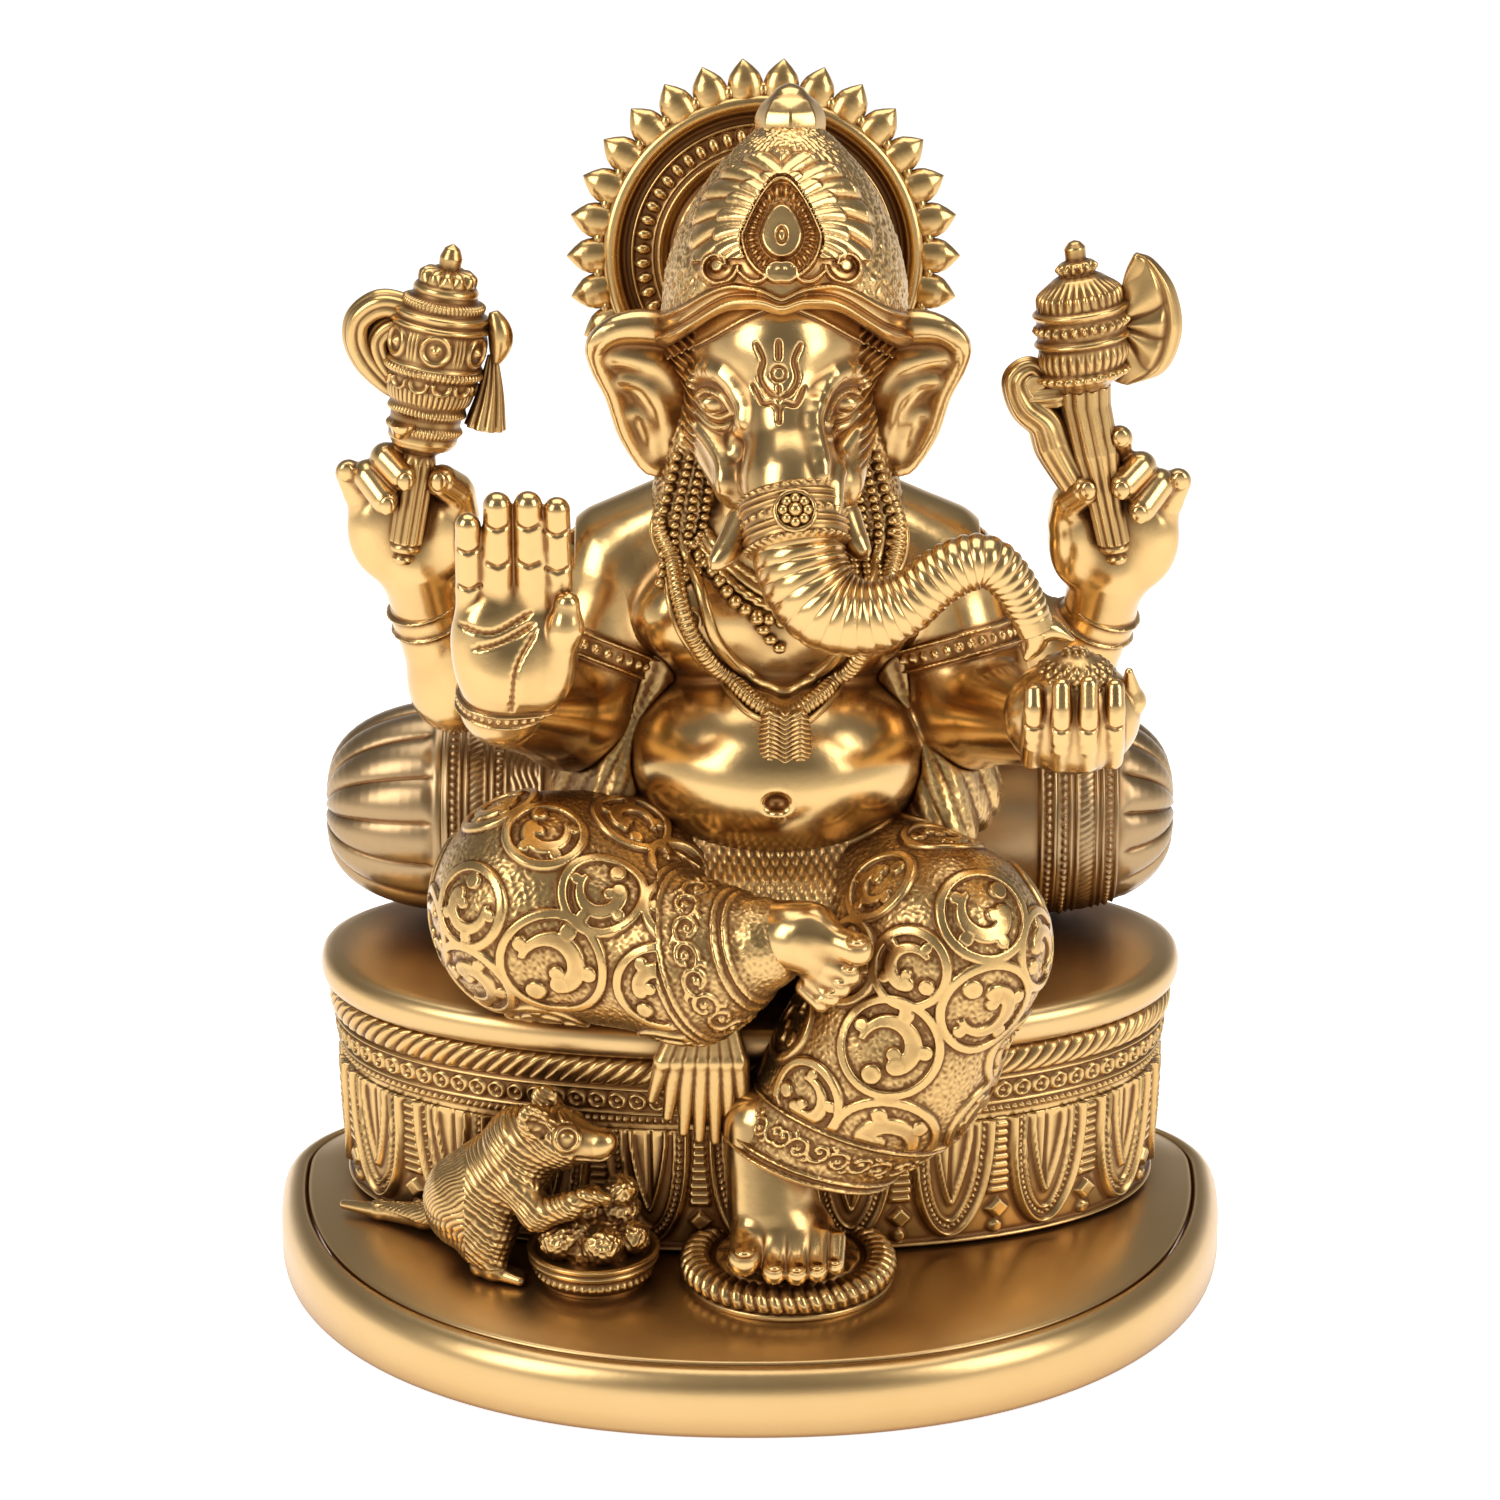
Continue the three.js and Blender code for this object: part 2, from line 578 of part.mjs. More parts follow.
// Each piece is cut back from the ones before it in this list, so that the small ones stay whole.
const pieces = {
  fasteners: [
    ["base_bolt_right", bolt([-boltX, THRONE.midY, boltHead], [-boltX, THRONE.midY, 99], 18), STEEL],
    ["base_bolt_left", bolt([boltX, THRONE.midY, boltHead], [boltX, THRONE.midY, 99], 18), STEEL],
    ["figure_bolt", bolt([FIGURE_X, 4, slabBoltHead], [FIGURE_X, 4, 199], 24), STEEL],
    ["halo_screw", bolt([6, haloScrewHead, 222], [6, -99, 222], 16), STEEL],
  ],
  stand: [
    ["base_skirt", baseSkirt, BRASS],
    ["deck_plate", deckPlate, BRASS],
    ["throne_drum", throneDrum, DARK_BRASS],
    ["seat_slab", seatSlab, BRASS],
    ["bolster_cap_right", bolsterCap(-1), BRASS],
    ["bolster_cap_left", bolsterCap(1), BRASS],
    ["bolster_body", bolsterBody, DARK_BRASS],
    ["foot_cushion", footCushion, BRASS],
  ],
  attributes: [
    ["goad", goadShape, DARK_BRASS],
    ["axe", axeShape, DARK_BRASS],
    ["modak_sweet", modak, BRASS],
    ["crown_finial", crownFinial, BRASS],
  ],
  hands_and_feet: [
    ["front_right_hand", frontRightHand, BRASS],
    ["front_left_hand", frontLeftHand, BRASS],
    ["rear_right_hand", rearHand(-1, [-68.4, 13.5, 153], rearRightPalm), BRASS],
    ["rear_left_hand", rearHand(1, [74.2, 13.5, 152], rearLeftPalm), BRASS],
    ["right_foot", rightFoot, BRASS],
    ["left_foot", leftFoot, BRASS],
  ],
  head_group: [
    ["trunk_band", trunkBand, BRASS],
    ["head", headShape, BRASS],
    ["trunk", trunkShape, BRASS],
    ["right_tusk", tusk([-1, -31, 186.5], [-7.6, -39, 179]), BRASS],
    ["left_tusk", tusk([18.6, -31, 187], [22.8, -37, 179.6]), BRASS],
    ["crown", crownShape, DARK_BRASS],
    ["right_ear", earShape(-1), BRASS],
    ["left_ear", earShape(1), BRASS],
  ],
  figure: [
    ["front_right_arm", frontRightArm, BRASS],
    ["front_left_arm", frontLeftArm, BRASS],
    ["rear_right_arm", rearRightArm, BRASS],
    ["rear_left_arm", rearLeftArm, BRASS],
    ["torso", torsoShape, BRASS],
    ["right_leg", rightLeg, DARK_BRASS],
    ["left_leg", leftLeg, DARK_BRASS],
    ["waist_wrap", waistWrap, DARK_BRASS],
    ["hanging_sash", hangingSash, DARK_BRASS],
  ],
  halo_group: [
    ["halo_bracket", haloBracket, DARK_BRASS],
    ["halo", haloPlate, DARK_BRASS],
  ],
  mouse_group: [
    ["sweets", sweets, DARK_BRASS],
    ["sweet_bowl", sweetBowl, BRASS],
    ["mouse", mouseShape, BRASS],
  ],
};

const apart = (a, b) => [0, 1, 2].some((k) => a.max[k] < b.min[k] || b.max[k] < a.min[k]);
const largest = (s) => s.decompose().sort((a, b) => b.volume() - a.volume())[0];

/** The geometry of a solid, for a mesh. */
function geometryOf(s) {
  const m = s.getMesh();
  const p = new Float32Array(m.numVert * 3);
  for (let i = 0; i < m.numVert; i++) {
    const start = i * m.numProp;
    p.set(m.vertProperties.subarray(start, start + 3), i * 3);
  }
  const g = new THREE.BufferGeometry();
  g.setAttribute("position", new THREE.BufferAttribute(p, 3));
  g.setIndex(new THREE.BufferAttribute(m.triVerts, 1));
  g.computeVertexNormals();
  return g;
}

const idol = new THREE.Group();
idol.name = "ganesha_idol";
const placed = [];
for (const [groupName, members] of Object.entries(pieces)) {
  const group = new THREE.Group();
  group.name = groupName;
  for (const [name, shape, look] of members) {
    let body = shape(0);
    for (const other of placed) if (!apart(body.boundingBox(), other.boundingBox())) body = cut(body, other);
    placed.push(shape(GAP));
    const mesh = new THREE.Mesh(geometryOf(largest(body)), new THREE.MeshStandardMaterial(look));
    mesh.name = name;
    group.add(mesh);
  }
  idol.add(group);
}

export default idol;
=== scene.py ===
"""Brass Ganesha idol: the chased and polished surface of each casting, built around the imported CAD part.

Shapes are worked out in millimetres, +Z up. The idol faces -Y, and its right hand is on the -X side.
Most castings are fields: functions that give each point's distance to the surface, negative inside.
"""

import math
from concurrent.futures import ThreadPoolExecutor

import bpy
import numpy as np
import openvdb
from mathutils import Euler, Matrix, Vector


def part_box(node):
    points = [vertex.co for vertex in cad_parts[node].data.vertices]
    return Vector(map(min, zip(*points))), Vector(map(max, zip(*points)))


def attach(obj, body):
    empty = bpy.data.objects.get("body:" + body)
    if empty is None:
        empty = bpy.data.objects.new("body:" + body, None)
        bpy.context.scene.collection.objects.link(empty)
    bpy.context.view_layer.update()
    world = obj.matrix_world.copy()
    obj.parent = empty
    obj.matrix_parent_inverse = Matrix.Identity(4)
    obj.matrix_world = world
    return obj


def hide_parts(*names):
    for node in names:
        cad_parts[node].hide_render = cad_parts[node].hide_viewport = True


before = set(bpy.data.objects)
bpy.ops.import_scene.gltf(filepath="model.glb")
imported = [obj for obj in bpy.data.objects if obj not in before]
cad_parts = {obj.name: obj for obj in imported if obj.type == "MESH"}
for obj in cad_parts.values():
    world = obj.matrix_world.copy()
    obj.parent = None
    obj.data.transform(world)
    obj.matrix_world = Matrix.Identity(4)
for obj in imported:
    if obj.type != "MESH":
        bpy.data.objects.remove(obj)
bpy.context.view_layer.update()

MM = 0.001
TAU = 2 * math.pi
FIGURE_X = 5.5  # the body's centre line
CROWN_X = 6.3  # the crown's centre line


# ---------------------------------------------------------------- vectors and curves


def length(v):
    """The length of each row."""
    return np.sqrt(np.einsum("ij,ij->i", v, v))


def unit(v):
    return v / np.linalg.norm(v)


def turned(degrees):
    """The matrix that turns by Euler angles."""
    return np.float32(Euler([math.radians(a) for a in degrees]).to_matrix())


def distance_along(path):
    """How far along a path each of its points is."""
    return np.concatenate([[0], np.cumsum(length(np.diff(path, axis=0)))])


def points_at(path, run, at):
    """The points that lie at these distances along a path; run is how far along it its own points are."""
    return np.stack([np.interp(at, run, column) for column in path.T], 1)


def curve(points, count):
    """Points spread evenly along a smooth curve through the given ones."""
    p = np.float64(points)
    p = np.concatenate([2 * p[:1] - p[1:2], p, 2 * p[-1:] - p[-2:-1]])
    t = np.linspace(0, 1, 12, endpoint=False)[:, None]
    parts = []
    for a, b, c, d in zip(p, p[1:], p[2:], p[3:]):
        square, cube = 2 * a - 5 * b + 4 * c - d, 3 * b - a - 3 * c + d
        parts.append(0.5 * (2 * b + (c - a) * t + square * t**2 + cube * t**3))
    fine = np.concatenate([*parts, p[-2:-1]])
    run = distance_along(fine)
    return points_at(fine, run, np.linspace(0, run[-1], count))


def taper(count, radii, at=None):
    """Radii for count points of a path, through the given ones: evenly spaced, or at these shares of it."""
    at = np.linspace(0, 1, len(radii)) if at is None else at
    return np.interp(np.linspace(0, 1, count), at, radii)


# ---------------------------------------------------------------- fields


def ball(centre, radii, tilt=(0, 0, 0)):
    """An ellipsoid."""
    c, r, m = np.float32(centre), np.float32(radii), turned(tilt)

    def field(p):
        q = (p - c) @ m / r
        out = length(q)
        return out * (out - 1) / np.maximum(length(q / r), 1e-6)

    return field


def limb(a, b, ra, rb):
    """A rod with round ends whose radius goes from ra to rb."""
    a, b = np.float32(a), np.float32(b)
    axis = b - a
    span = axis @ axis

    def field(p):
        t = np.clip((p - a) @ axis / span, 0, 1)
        return length(p - a - t[:, None] * axis) - (ra + (rb - ra) * t)

    return field


def union(k, *fields):
    """The fields joined, with fillets about k wide."""

    def field(p):
        d = fields[0](p)
        for other in fields[1:]:
            e = other(p)
            h = np.clip(0.5 + 0.5 * (d - e) / k, 0, 1)
            d = d + (e - d) * h - k * h * (1 - h)
        return d

    return field


def chain(k, points, radii):
    """Rods joined end to end. Only points near them are worked out; further off, a lower bound will do."""
    ends = list(zip(points, radii))
    rods = union(k, *[limb(a, b, ra, rb) for (a, ra), (b, rb) in zip(ends, ends[1:])])
    middle = np.float32(points).mean(0)
    reach = max(math.dist(middle, p) + r for p, r in ends)

    def field(p):
        d = length(p - middle) - reach
        near = d < 4
        if near.any():
            d[near] = rods(p[near])
        return d

    return field


def cut(k, body, *tools):
    """The body less the tools, with edges rounded by about k."""
    negatives = [lambda p, t=t: -t(p) for t in tools]

    def field(p):
        d = body(p)
        for tool in negatives:
            e = tool(p)
            h = np.clip(0.5 - 0.5 * (d - e) / k, 0, 1)
            d = d + (e - d) * h + k * h * (1 - h)
        return d

    return field


def half_space(point, normal):
    """Everything behind the plane through point that faces along normal."""
    c, n = np.float32(point), unit(np.float32(normal))
    return lambda p: (p - c) @ n


def share(skin, own, others, sink=0.3, reach=2.0):
    """One casting's stretch of a shared skin. Past the joint it sinks under the next casting."""

    def field(p):
        past = own(p) - np.min([other(p) for other in others], 0)
        return np.maximum(skin(p) + sink * np.clip(past, 0, None), past - reach)

    return field


def emboss(body, height, reach=2.5):
    """The body raised by height(points)."""

    def field(p):
        d = body(p)
        near = np.abs(d) < reach
        if near.any():
            d[near] -= height(p[near])
        return d

    return field


def gradient(field, p, step=0.15):
    """The field at each point, and how fast it changes along x, y and z."""
    base = field(p)
    axes = np.eye(3, dtype=np.float32)
    return base, np.stack([field(p + np.float32(step) * axis) - base for axis in axes], 1) / step


def land_line(field, points, start=-90.0, along=(0, 1, 0)):
    """Where lines from points given as (x, z), seen from the front, first meet the surface."""
    p = np.float32([(x, start, z) for x, z in points])
    step = np.float32(along) / np.linalg.norm(along)
    for _ in range(160):
        d = field(p)
        if (d < 0.02).all():
            break
        p = p + step * np.clip(d, 0, 2.0)[:, None] * 0.8
    return p


def land(field, x, z, start=-90.0, along=(0, 1, 0)):
    """Where a line from (x, start, z) first meets the surface."""
    return land_line(field, [(x, z)], start, along)[0]


# ---------------------------------------------------------------- ornament profiles


def bump(distance, width):
    """A round ridge: 1 on the line, 0 at its edges."""
    t = np.clip(np.abs(distance) / width, 0, 1)
    return 1 - t * t * (3 - 2 * t)


def smooth_step(low, high, x):
    """0 up to low, 1 past high, and smooth between them."""
    t = np.clip((x - low) / (high - low), 0, 1)
    return t * t * (3 - 2 * t)


def grain(p, size):
    """An even, irregular pitting."""
    a, b, c = (p * (TAU / size)).T
    first, second, third = (np.sin(u + 1.3 * np.sin(0.7 * v)) for u, v in ((a, b), (b, c), (c, a)))
    return first * second * third


# turn, distance from the middle and size of each leaf in a scroll, as shares of a turn and of the ring's radius
SCROLL_LEAVES = [
    (0.66, 0.4, 0.19), (0.06, 0.74, 0.15), (0.28, 0.76, 0.17), (0.48, 0.72, 0.16), (0.8, 0.66, 0.21),
]


def scroll(u, v, radius, hand):
    """A ring with a leafy tendril curling inside it."""
    r = np.hypot(u, v)
    angle = np.mod(np.arctan2(v * hand, u), TAU)
    ring = 0.85 * smooth_step(1.2, 0.75, np.abs(r - radius))
    share_of_turn = angle / TAU
    winding = radius * (0.60 - 0.26 * share_of_turn)
    thick = 0.11 * radius * (0.6 + np.sin(share_of_turn * math.pi))
    stem = 0.8 * smooth_step(thick + 0.35, thick - 0.15, np.abs(r - winding)) * (share_of_turn < 0.66)
    leaves = []
    for turn, out, size in SCROLL_LEAVES:
        leaf_u, leaf_v = radius * out * math.cos(turn * TAU), radius * out * math.sin(turn * TAU)
        away = np.hypot(u - leaf_u, v * hand - leaf_v)
        leaves.append(0.85 * smooth_step(size * radius + 0.3, size * radius - 0.25, away))
    away = np.hypot(u + 0.12 * radius, v * hand + 0.1 * radius)
    middle = 0.8 * smooth_step(0.15 * radius + 0.3, 0.15 * radius - 0.2, away)
    inside = np.max([stem, middle, *leaves], 0)
    gap = smooth_step(0.92, 0.86, r / radius)
    return np.maximum(ring, inside * gap)


# ---------------------------------------------------------------- meshes

POOL = ThreadPoolExecutor(4)
BLOCK = 8


def evaluate(field, p, chunk=60000):
    """The field at many points, worked out in parallel."""
    p = np.asarray(p, np.float32)
    parts = [p[i : i + chunk] for i in range(0, len(p), chunk)]
    return np.concatenate(list(POOL.map(field, parts)))


def settle(field, p, voxel):
    """Points near the surface, moved onto it."""
    for _ in range(2):
        parts = list(POOL.map(lambda q: gradient(field, q), np.array_split(p, 8)))
        d = np.concatenate([a for a, _ in parts])
        g = np.concatenate([b for _, b in parts])
        step = g * (d / np.maximum(length(g) ** 2, 0.25))[:, None]
        p = p - step * np.minimum(1, 0.6 * voxel / np.maximum(length(step), 1e-9))[:, None]
    return p


def link_mesh(name, points, quads, tris=()):
    """A smooth-shaded object from points in millimetres."""
    quads = np.asarray(quads, np.int32).reshape(-1, 4)
    tris = np.asarray(tris, np.int32).reshape(-1, 3)
    loops = np.concatenate([quads.ravel(), tris.ravel()])
    totals = np.concatenate([np.full(len(quads), 4), np.full(len(tris), 3)]).astype(np.int32)
    mesh = bpy.data.meshes.new(name)
    mesh.vertices.add(len(points))
    mesh.vertices.foreach_set("co", np.asarray(points, np.float32).ravel() * MM)
    mesh.loops.add(len(loops))
    mesh.loops.foreach_set("vertex_index", loops)
    mesh.polygons.add(len(totals))
    mesh.polygons.foreach_set("loop_start", np.concatenate([[0], np.cumsum(totals)[:-1]]).astype(np.int32))
    mesh.update(calc_edges=True)
    mesh.validate()
    mesh.shade_smooth()
    obj = bpy.data.objects.new(name, mesh)
    bpy.context.scene.collection.objects.link(obj)
    return obj


def mark_hollows(obj, rounds=10, scale=0.22):
    """Stores how far each vertex stands out of (1) or lies below (0) the surface round it."""
    mesh = obj.data
    n = len(mesh.vertices)
    p = np.empty(n * 3, np.float32)
    mesh.vertices.foreach_get("co", p)
    p = p.reshape(-1, 3) / MM
    normals = np.empty(n * 3, np.float32)
    mesh.vertex_normals.foreach_get("vector", normals)
    edges = np.empty(len(mesh.edges) * 2, np.int32)
    mesh.edges.foreach_get("vertices", edges)
    a, b = edges[0::2], edges[1::2]
    ends, starts = np.concatenate([a, b]), np.concatenate([b, a])
    count = np.maximum(np.bincount(ends, minlength=n), 1)
    smooth = p
    for _ in range(rounds):
        smooth = np.stack([np.bincount(ends, smooth[starts, k], n) / count for k in range(3)], 1)
    out = np.einsum("ij,ij->i", p - smooth, normals.reshape(-1, 3))
    value = np.clip(0.5 + out / (2 * scale), 0, 1)
    mesh.attributes.new("relief", "FLOAT", "POINT").data.foreach_set("value", value.astype(np.float32))


def sculpt(name, field, low, high, voxel):
    """The surface of a field inside a box, worked out only in blocks of voxels that it can pass through."""
    low = np.float32(low)
    size = np.ceil((np.float32(high) - low) / voxel / BLOCK).astype(int)
    blocks = np.indices(size).reshape(3, -1).T
    centre = evaluate(field, (blocks + 0.5) * (BLOCK * voxel) + low)
    near = np.abs(centre) < BLOCK * voxel * 1.05 + 1.0
    values = np.empty((*size, BLOCK, BLOCK, BLOCK), np.float32)
    values[:] = np.where(centre < 0, -5, 5).reshape(size)[..., None, None, None]
    cell = np.indices((BLOCK,) * 3).reshape(3, -1).T
    points = (blocks[near][:, None] * BLOCK + cell[None]) * np.float32(voxel) + low
    values.reshape(-1, BLOCK**3)[near] = evaluate(field, points.reshape(-1, 3)).reshape(-1, BLOCK**3)
    dense = values.transpose(0, 3, 1, 4, 2, 5).reshape(size * BLOCK)
    grid = openvdb.FloatGrid(5.0)
    grid.copyFromArray(np.ascontiguousarray(dense))
    p, tris, quads = grid.convertToPolygons(0.0, 0.0)
    p = settle(field, np.float32(p) * voxel + low, voxel)
    return link_mesh(name, p, quads, tris)


def outward(grid, ring):
    """The grid with its rows in the order that turns its faces outwards."""
    here, after = (grid, np.roll(grid, -1, 0)) if ring else (grid[:-1], grid[1:])
    normal = np.cross(np.roll(after, -1, 1) - here, after - np.roll(here, -1, 1))
    return grid if (normal * (here - grid.mean((0, 1)))).sum() > 0 else grid[::-1]


def link_grids(name, grids, ring=False):
    """One object from grids of points [row, column], whose columns close into loops.
    Rows close too if ring is set; otherwise the first and last rows are filled."""
    points, quads, tris, offset = [], [], [], 0
    for grid in (outward(g, ring) for g in grids):
        rows, columns = grid.shape[:2]
        index = np.arange(rows * columns).reshape(rows, columns) + offset
        beside = np.roll(index, -1, 1)
        last = rows if ring else rows - 1
        above, above_beside = np.roll(index, -1, 0), np.roll(beside, -1, 0)
        quads.append(np.stack([index, beside, above_beside, above], -1)[:last].reshape(-1, 4))
        points.append(grid.reshape(-1, 3))
        offset += rows * columns
        if not ring:
            tris += [(offset, b, a) for a, b in zip(index[0], beside[0])]
            tris += [(offset + 1, a, b) for a, b in zip(index[-1], beside[-1])]
            points.append(np.stack([grid[0].mean(0), grid[-1].mean(0)]))
            offset += 2
    return link_mesh(name, np.concatenate(points), np.concatenate(quads), tris)


def place(obj, look, *nodes):
    """Gives a finished piece its look and lets it stand for CAD nodes."""
    mark_hollows(obj)
    material, slot = look
    obj.data.materials.append(material)
    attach(obj, "root")
    if nodes:
        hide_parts(*nodes)
    return obj


# ---------------------------------------------------------------- looks


def brass(name, clean, dark, polish, dull, clear=0.62, wear=1.0):
    """Cast brass: bright where it is rubbed, brown where patina stays in the hollows, and darkened by painted
    shade from an ambient occlusion mask in recesses and between parts.
    """
    material = bpy.data.materials.new(name)
    material.use_nodes = True
    nodes, links = material.node_tree.nodes, material.node_tree.links
    shader = nodes["Principled BSDF"]
    shader.inputs["Metallic"].default_value = 1.0
    shader.inputs["Coat Weight"].default_value = 0.25
    shader.inputs["Coat Roughness"].default_value = 0.3

    def node(kind, **values):
        made = nodes.new("ShaderNode" + kind)
        for key, value in values.items():
            setattr(made, key, value)
        return made

    def math_node(operation, a, b, clamp=False):
        made = node("Math", operation=operation, use_clamp=clamp)
        for socket, value in zip(made.inputs, (a, b)):
            if isinstance(value, (int, float)):
                socket.default_value = value
            else:
                links.new(value, socket)
        return made.outputs[0]

    place_in = node("TexCoord").outputs["Object"]
    relief = node("Attribute", attribute_name="relief").outputs["Fac"]

    def noise(scale, detail=3.0, rough=0.55):
        made = node("TexNoise")
        made.inputs["Scale"].default_value = scale
        made.inputs["Detail"].default_value = detail
        made.inputs["Roughness"].default_value = rough
        links.new(place_in, made.inputs["Vector"])
        return made.outputs["Fac"]

    # Painted shade: ambient occlusion darkens the colour in recesses and between parts, where shade falls.
    ambient_shade = node("AmbientOcclusion", samples=6)
    ambient_shade.inputs["Distance"].default_value = 0.009
    rubbed = node("MapRange", interpolation_type="SMOOTHSTEP")
    rubbed.inputs["From Min"].default_value = 0.16
    rubbed.inputs["From Max"].default_value = clear
    blotch = math_node("MULTIPLY", math_node("SUBTRACT", noise(90), 0.5), 0.35 * wear)
    links.new(math_node("ADD", relief, blotch), rubbed.inputs["Value"])
    unshaded = node("MapRange")
    unshaded.inputs["From Min"].default_value = 0.15
    unshaded.inputs["From Max"].default_value = 0.85
    links.new(ambient_shade.outputs["AO"], unshaded.inputs["Value"])
    # High where the metal is rubbed and out of the painted shade; this mask sets both the colour and the
    # roughness.
    rubbed_and_unshaded = math_node("MULTIPLY", rubbed.outputs[0], unshaded.outputs[0], True)

    factor, first, second = 0, 6, 7  # a colour Mix node's sockets
    # The colour runs from the dark of patina and painted shade to clean brass.
    colour = node("Mix", data_type="RGBA")
    links.new(rubbed_and_unshaded, colour.inputs[factor])
    colour.inputs[first].default_value = (*dark, 1)
    tone = node("Mix", data_type="RGBA")
    links.new(noise(38, 2.0), tone.inputs[factor])
    tone.inputs[first].default_value = (*clean, 1)
    tone.inputs[second].default_value = (clean[0] * 0.93, clean[1] * 0.88, clean[2] * 0.78, 1)
    links.new(tone.outputs[2], colour.inputs[second])
    links.new(colour.outputs[2], shader.inputs["Base Color"])

    rough = node("MapRange")
    speckle = math_node("MULTIPLY", math_node("SUBTRACT", noise(420), 0.5), 0.5)
    links.new(math_node("ADD", rubbed_and_unshaded, speckle), rough.inputs["Value"])
    rough.inputs["To Min"].default_value = dull
    rough.inputs["To Max"].default_value = polish
    links.new(rough.outputs[0], shader.inputs["Roughness"])

    skin = node("Bump")
    skin.inputs["Strength"].default_value = 0.09
    skin.inputs["Distance"].default_value = 0.0002
    grit = math_node("ADD", noise(900, 4.0), math_node("MULTIPLY", noise(160, 2.0), 1.5))
    links.new(grit, skin.inputs["Height"])
    links.new(skin.outputs[0], shader.inputs["Normal"])
    return material


# Dark colours for the patina in the hollows and for the painted shade of the ambient occlusion mask.
PATINA_AND_SHADE = (0.24, 0.105, 0.028)
DEEP_PATINA_AND_SHADE = (0.17, 0.07, 0.017)
POLISHED = (brass("polished_brass", (0.69, 0.46, 0.195), PATINA_AND_SHADE, 0.2, 0.42, wear=0.7), "polished_brass")
SATIN = (brass("satin_brass", (0.65, 0.44, 0.2), PATINA_AND_SHADE, 0.31, 0.45), "polished_brass")
# A darker copy of the satin brass for the bolster: its darker colour is painted shade, and its higher roughness
# gives a duller finish.
SHADED_DULL = (brass("shaded_dull_brass", (0.40, 0.272, 0.142), (0.2, 0.09, 0.026), 0.33, 0.48), "polished_brass")
BRIGHT = (brass("bright_brass", (0.72, 0.48, 0.2), (0.34, 0.16, 0.045), 0.24, 0.42, clear=0.52), "dark_brass")
CHASED = (brass("chased_brass", (0.65, 0.425, 0.17), DEEP_PATINA_AND_SHADE, 0.25, 0.5, clear=0.72), "dark_brass")
STEEL = (brass("zinc_steel", (0.55, 0.55, 0.56), (0.25, 0.24, 0.23), 0.3, 0.5), "bolt_steel")


# ---------------------------------------------------------------- the figure's joints


def node_box(node):
    """A CAD node's lowest and highest corners, in millimetres."""
    low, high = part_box(node)
    return np.array(low) / MM, np.array(high) / MM


def sculpt_node(node, field, margin, voxel):
    """The visible piece for a CAD node, sculpted inside the node's box and a margin round it."""
    low, high = node_box(node)
    return sculpt(node + "_cast", field, low - margin, high + margin, voxel)


SLAB_TOP = node_box("seat_slab")[1][2]
BOLSTER_LOW, BOLSTER_HIGH = node_box("bolster_body")
BOLSTER_AXIS = (BOLSTER_LOW + BOLSTER_HIGH) / 2
BOLSTER_RADIUS = (BOLSTER_HIGH[2] - BOLSTER_LOW[2]) / 2

belly = ball((FIGURE_X, 0, 122.5), (31.5, 28, 22))
chest = union(
    6,
    ball((FIGURE_X, 5, 150), (26, 17, 20)),
    limb((-25, 10, 158), (36, 10, 159), 12.5, 12.5),
    ball((-11, -5, 155), (12.5, 10, 10.5)),
    ball((22, -5, 155), (12.5, 10, 10.5)),
    limb((-11.5, 8, 172.5), (-28, 9, 163.5), 10.4, 11.6),
    limb((22.5, 8, 172.5), (39, 9, 163.5), 10.4, 11.6),
)
torso = union(2.5, belly, chest)
neck = limb((FIGURE_X, 6, 190), (FIGURE_X, 8, 166), 15, 17)
body_and_neck = union(2.5, torso, neck)


def lock(side):
    """The hair that hangs on one side of the neck."""
    points = [(FIGURE_X + side * out, y, z) for out, y, z in ((14, 6, 206), (15.6, 4, 190), (19, 4, 174))]
    return chain(3, points, [7, 7.6, 8])


locks = union(2, lock(-1), lock(1))

# the shoulder, the elbow, the wrist, and the arm's radius at each
ARMS = {
    "front_right": ((-28, 8, 157), (-38, 0, 133), (-49.4, -33, 145), (13, 12.4, 8.8)),
    "front_left": ((40, 8, 157), (47, 0, 133), (60, -31, 140), (13, 12, 8.6)),
    "rear_right": ((-30, 14, 156), (-62.6, 20, 131), (-68.6, 14, 151), (12, 9.2, 7.4)),
    "rear_left": ((42, 14, 156), (67, 20, 131), (74.4, 14, 150), (12, 9.2, 7.4)),
}
arm_bodies = {
    name: union(5, limb(shoulder, elbow, r[0], r[1]), limb(elbow, wrist, r[1], r[2]))
    for name, (shoulder, elbow, wrist, r) in ARMS.items()
}


def along(a, b):
    """Coordinates about the line from a to b: how far along it, the angle round it, and how far from it."""
    a, b = np.float32(a), np.float32(b)
    axis = unit(b - a)
    across = unit(np.cross(axis, np.float32((0.3, 0.2, 1))))
    other = np.cross(axis, across)

    def coordinates(p):
        q = p - a
        return q @ axis, np.arctan2(q @ other, q @ across), length(q - (q @ axis)[:, None] * axis)

    return coordinates


def bangle(a, b, at, width, count=30, rise=1.1):
    """A beaded band between two smooth rings, round the line from a to b. A count of 0 means no beads."""
    coordinates = along(a, b)

    def height(p):
        s, angle, _ = coordinates(p)
        off = s - at
        rings = bump(np.abs(off) - width / 2, 0.7)
        beads = bump(off, width * 0.4) * (0.55 + 0.45 * np.cos(angle * count)) * (count > 0)
        base = smooth_step(width / 2 + 0.5, width / 2, np.abs(off)) * 0.35
        return rise * np.maximum(base, np.maximum(rings, beads) * (np.abs(off) < width))

    return height


skin = union(4, torso, neck, *arm_bodies.values())


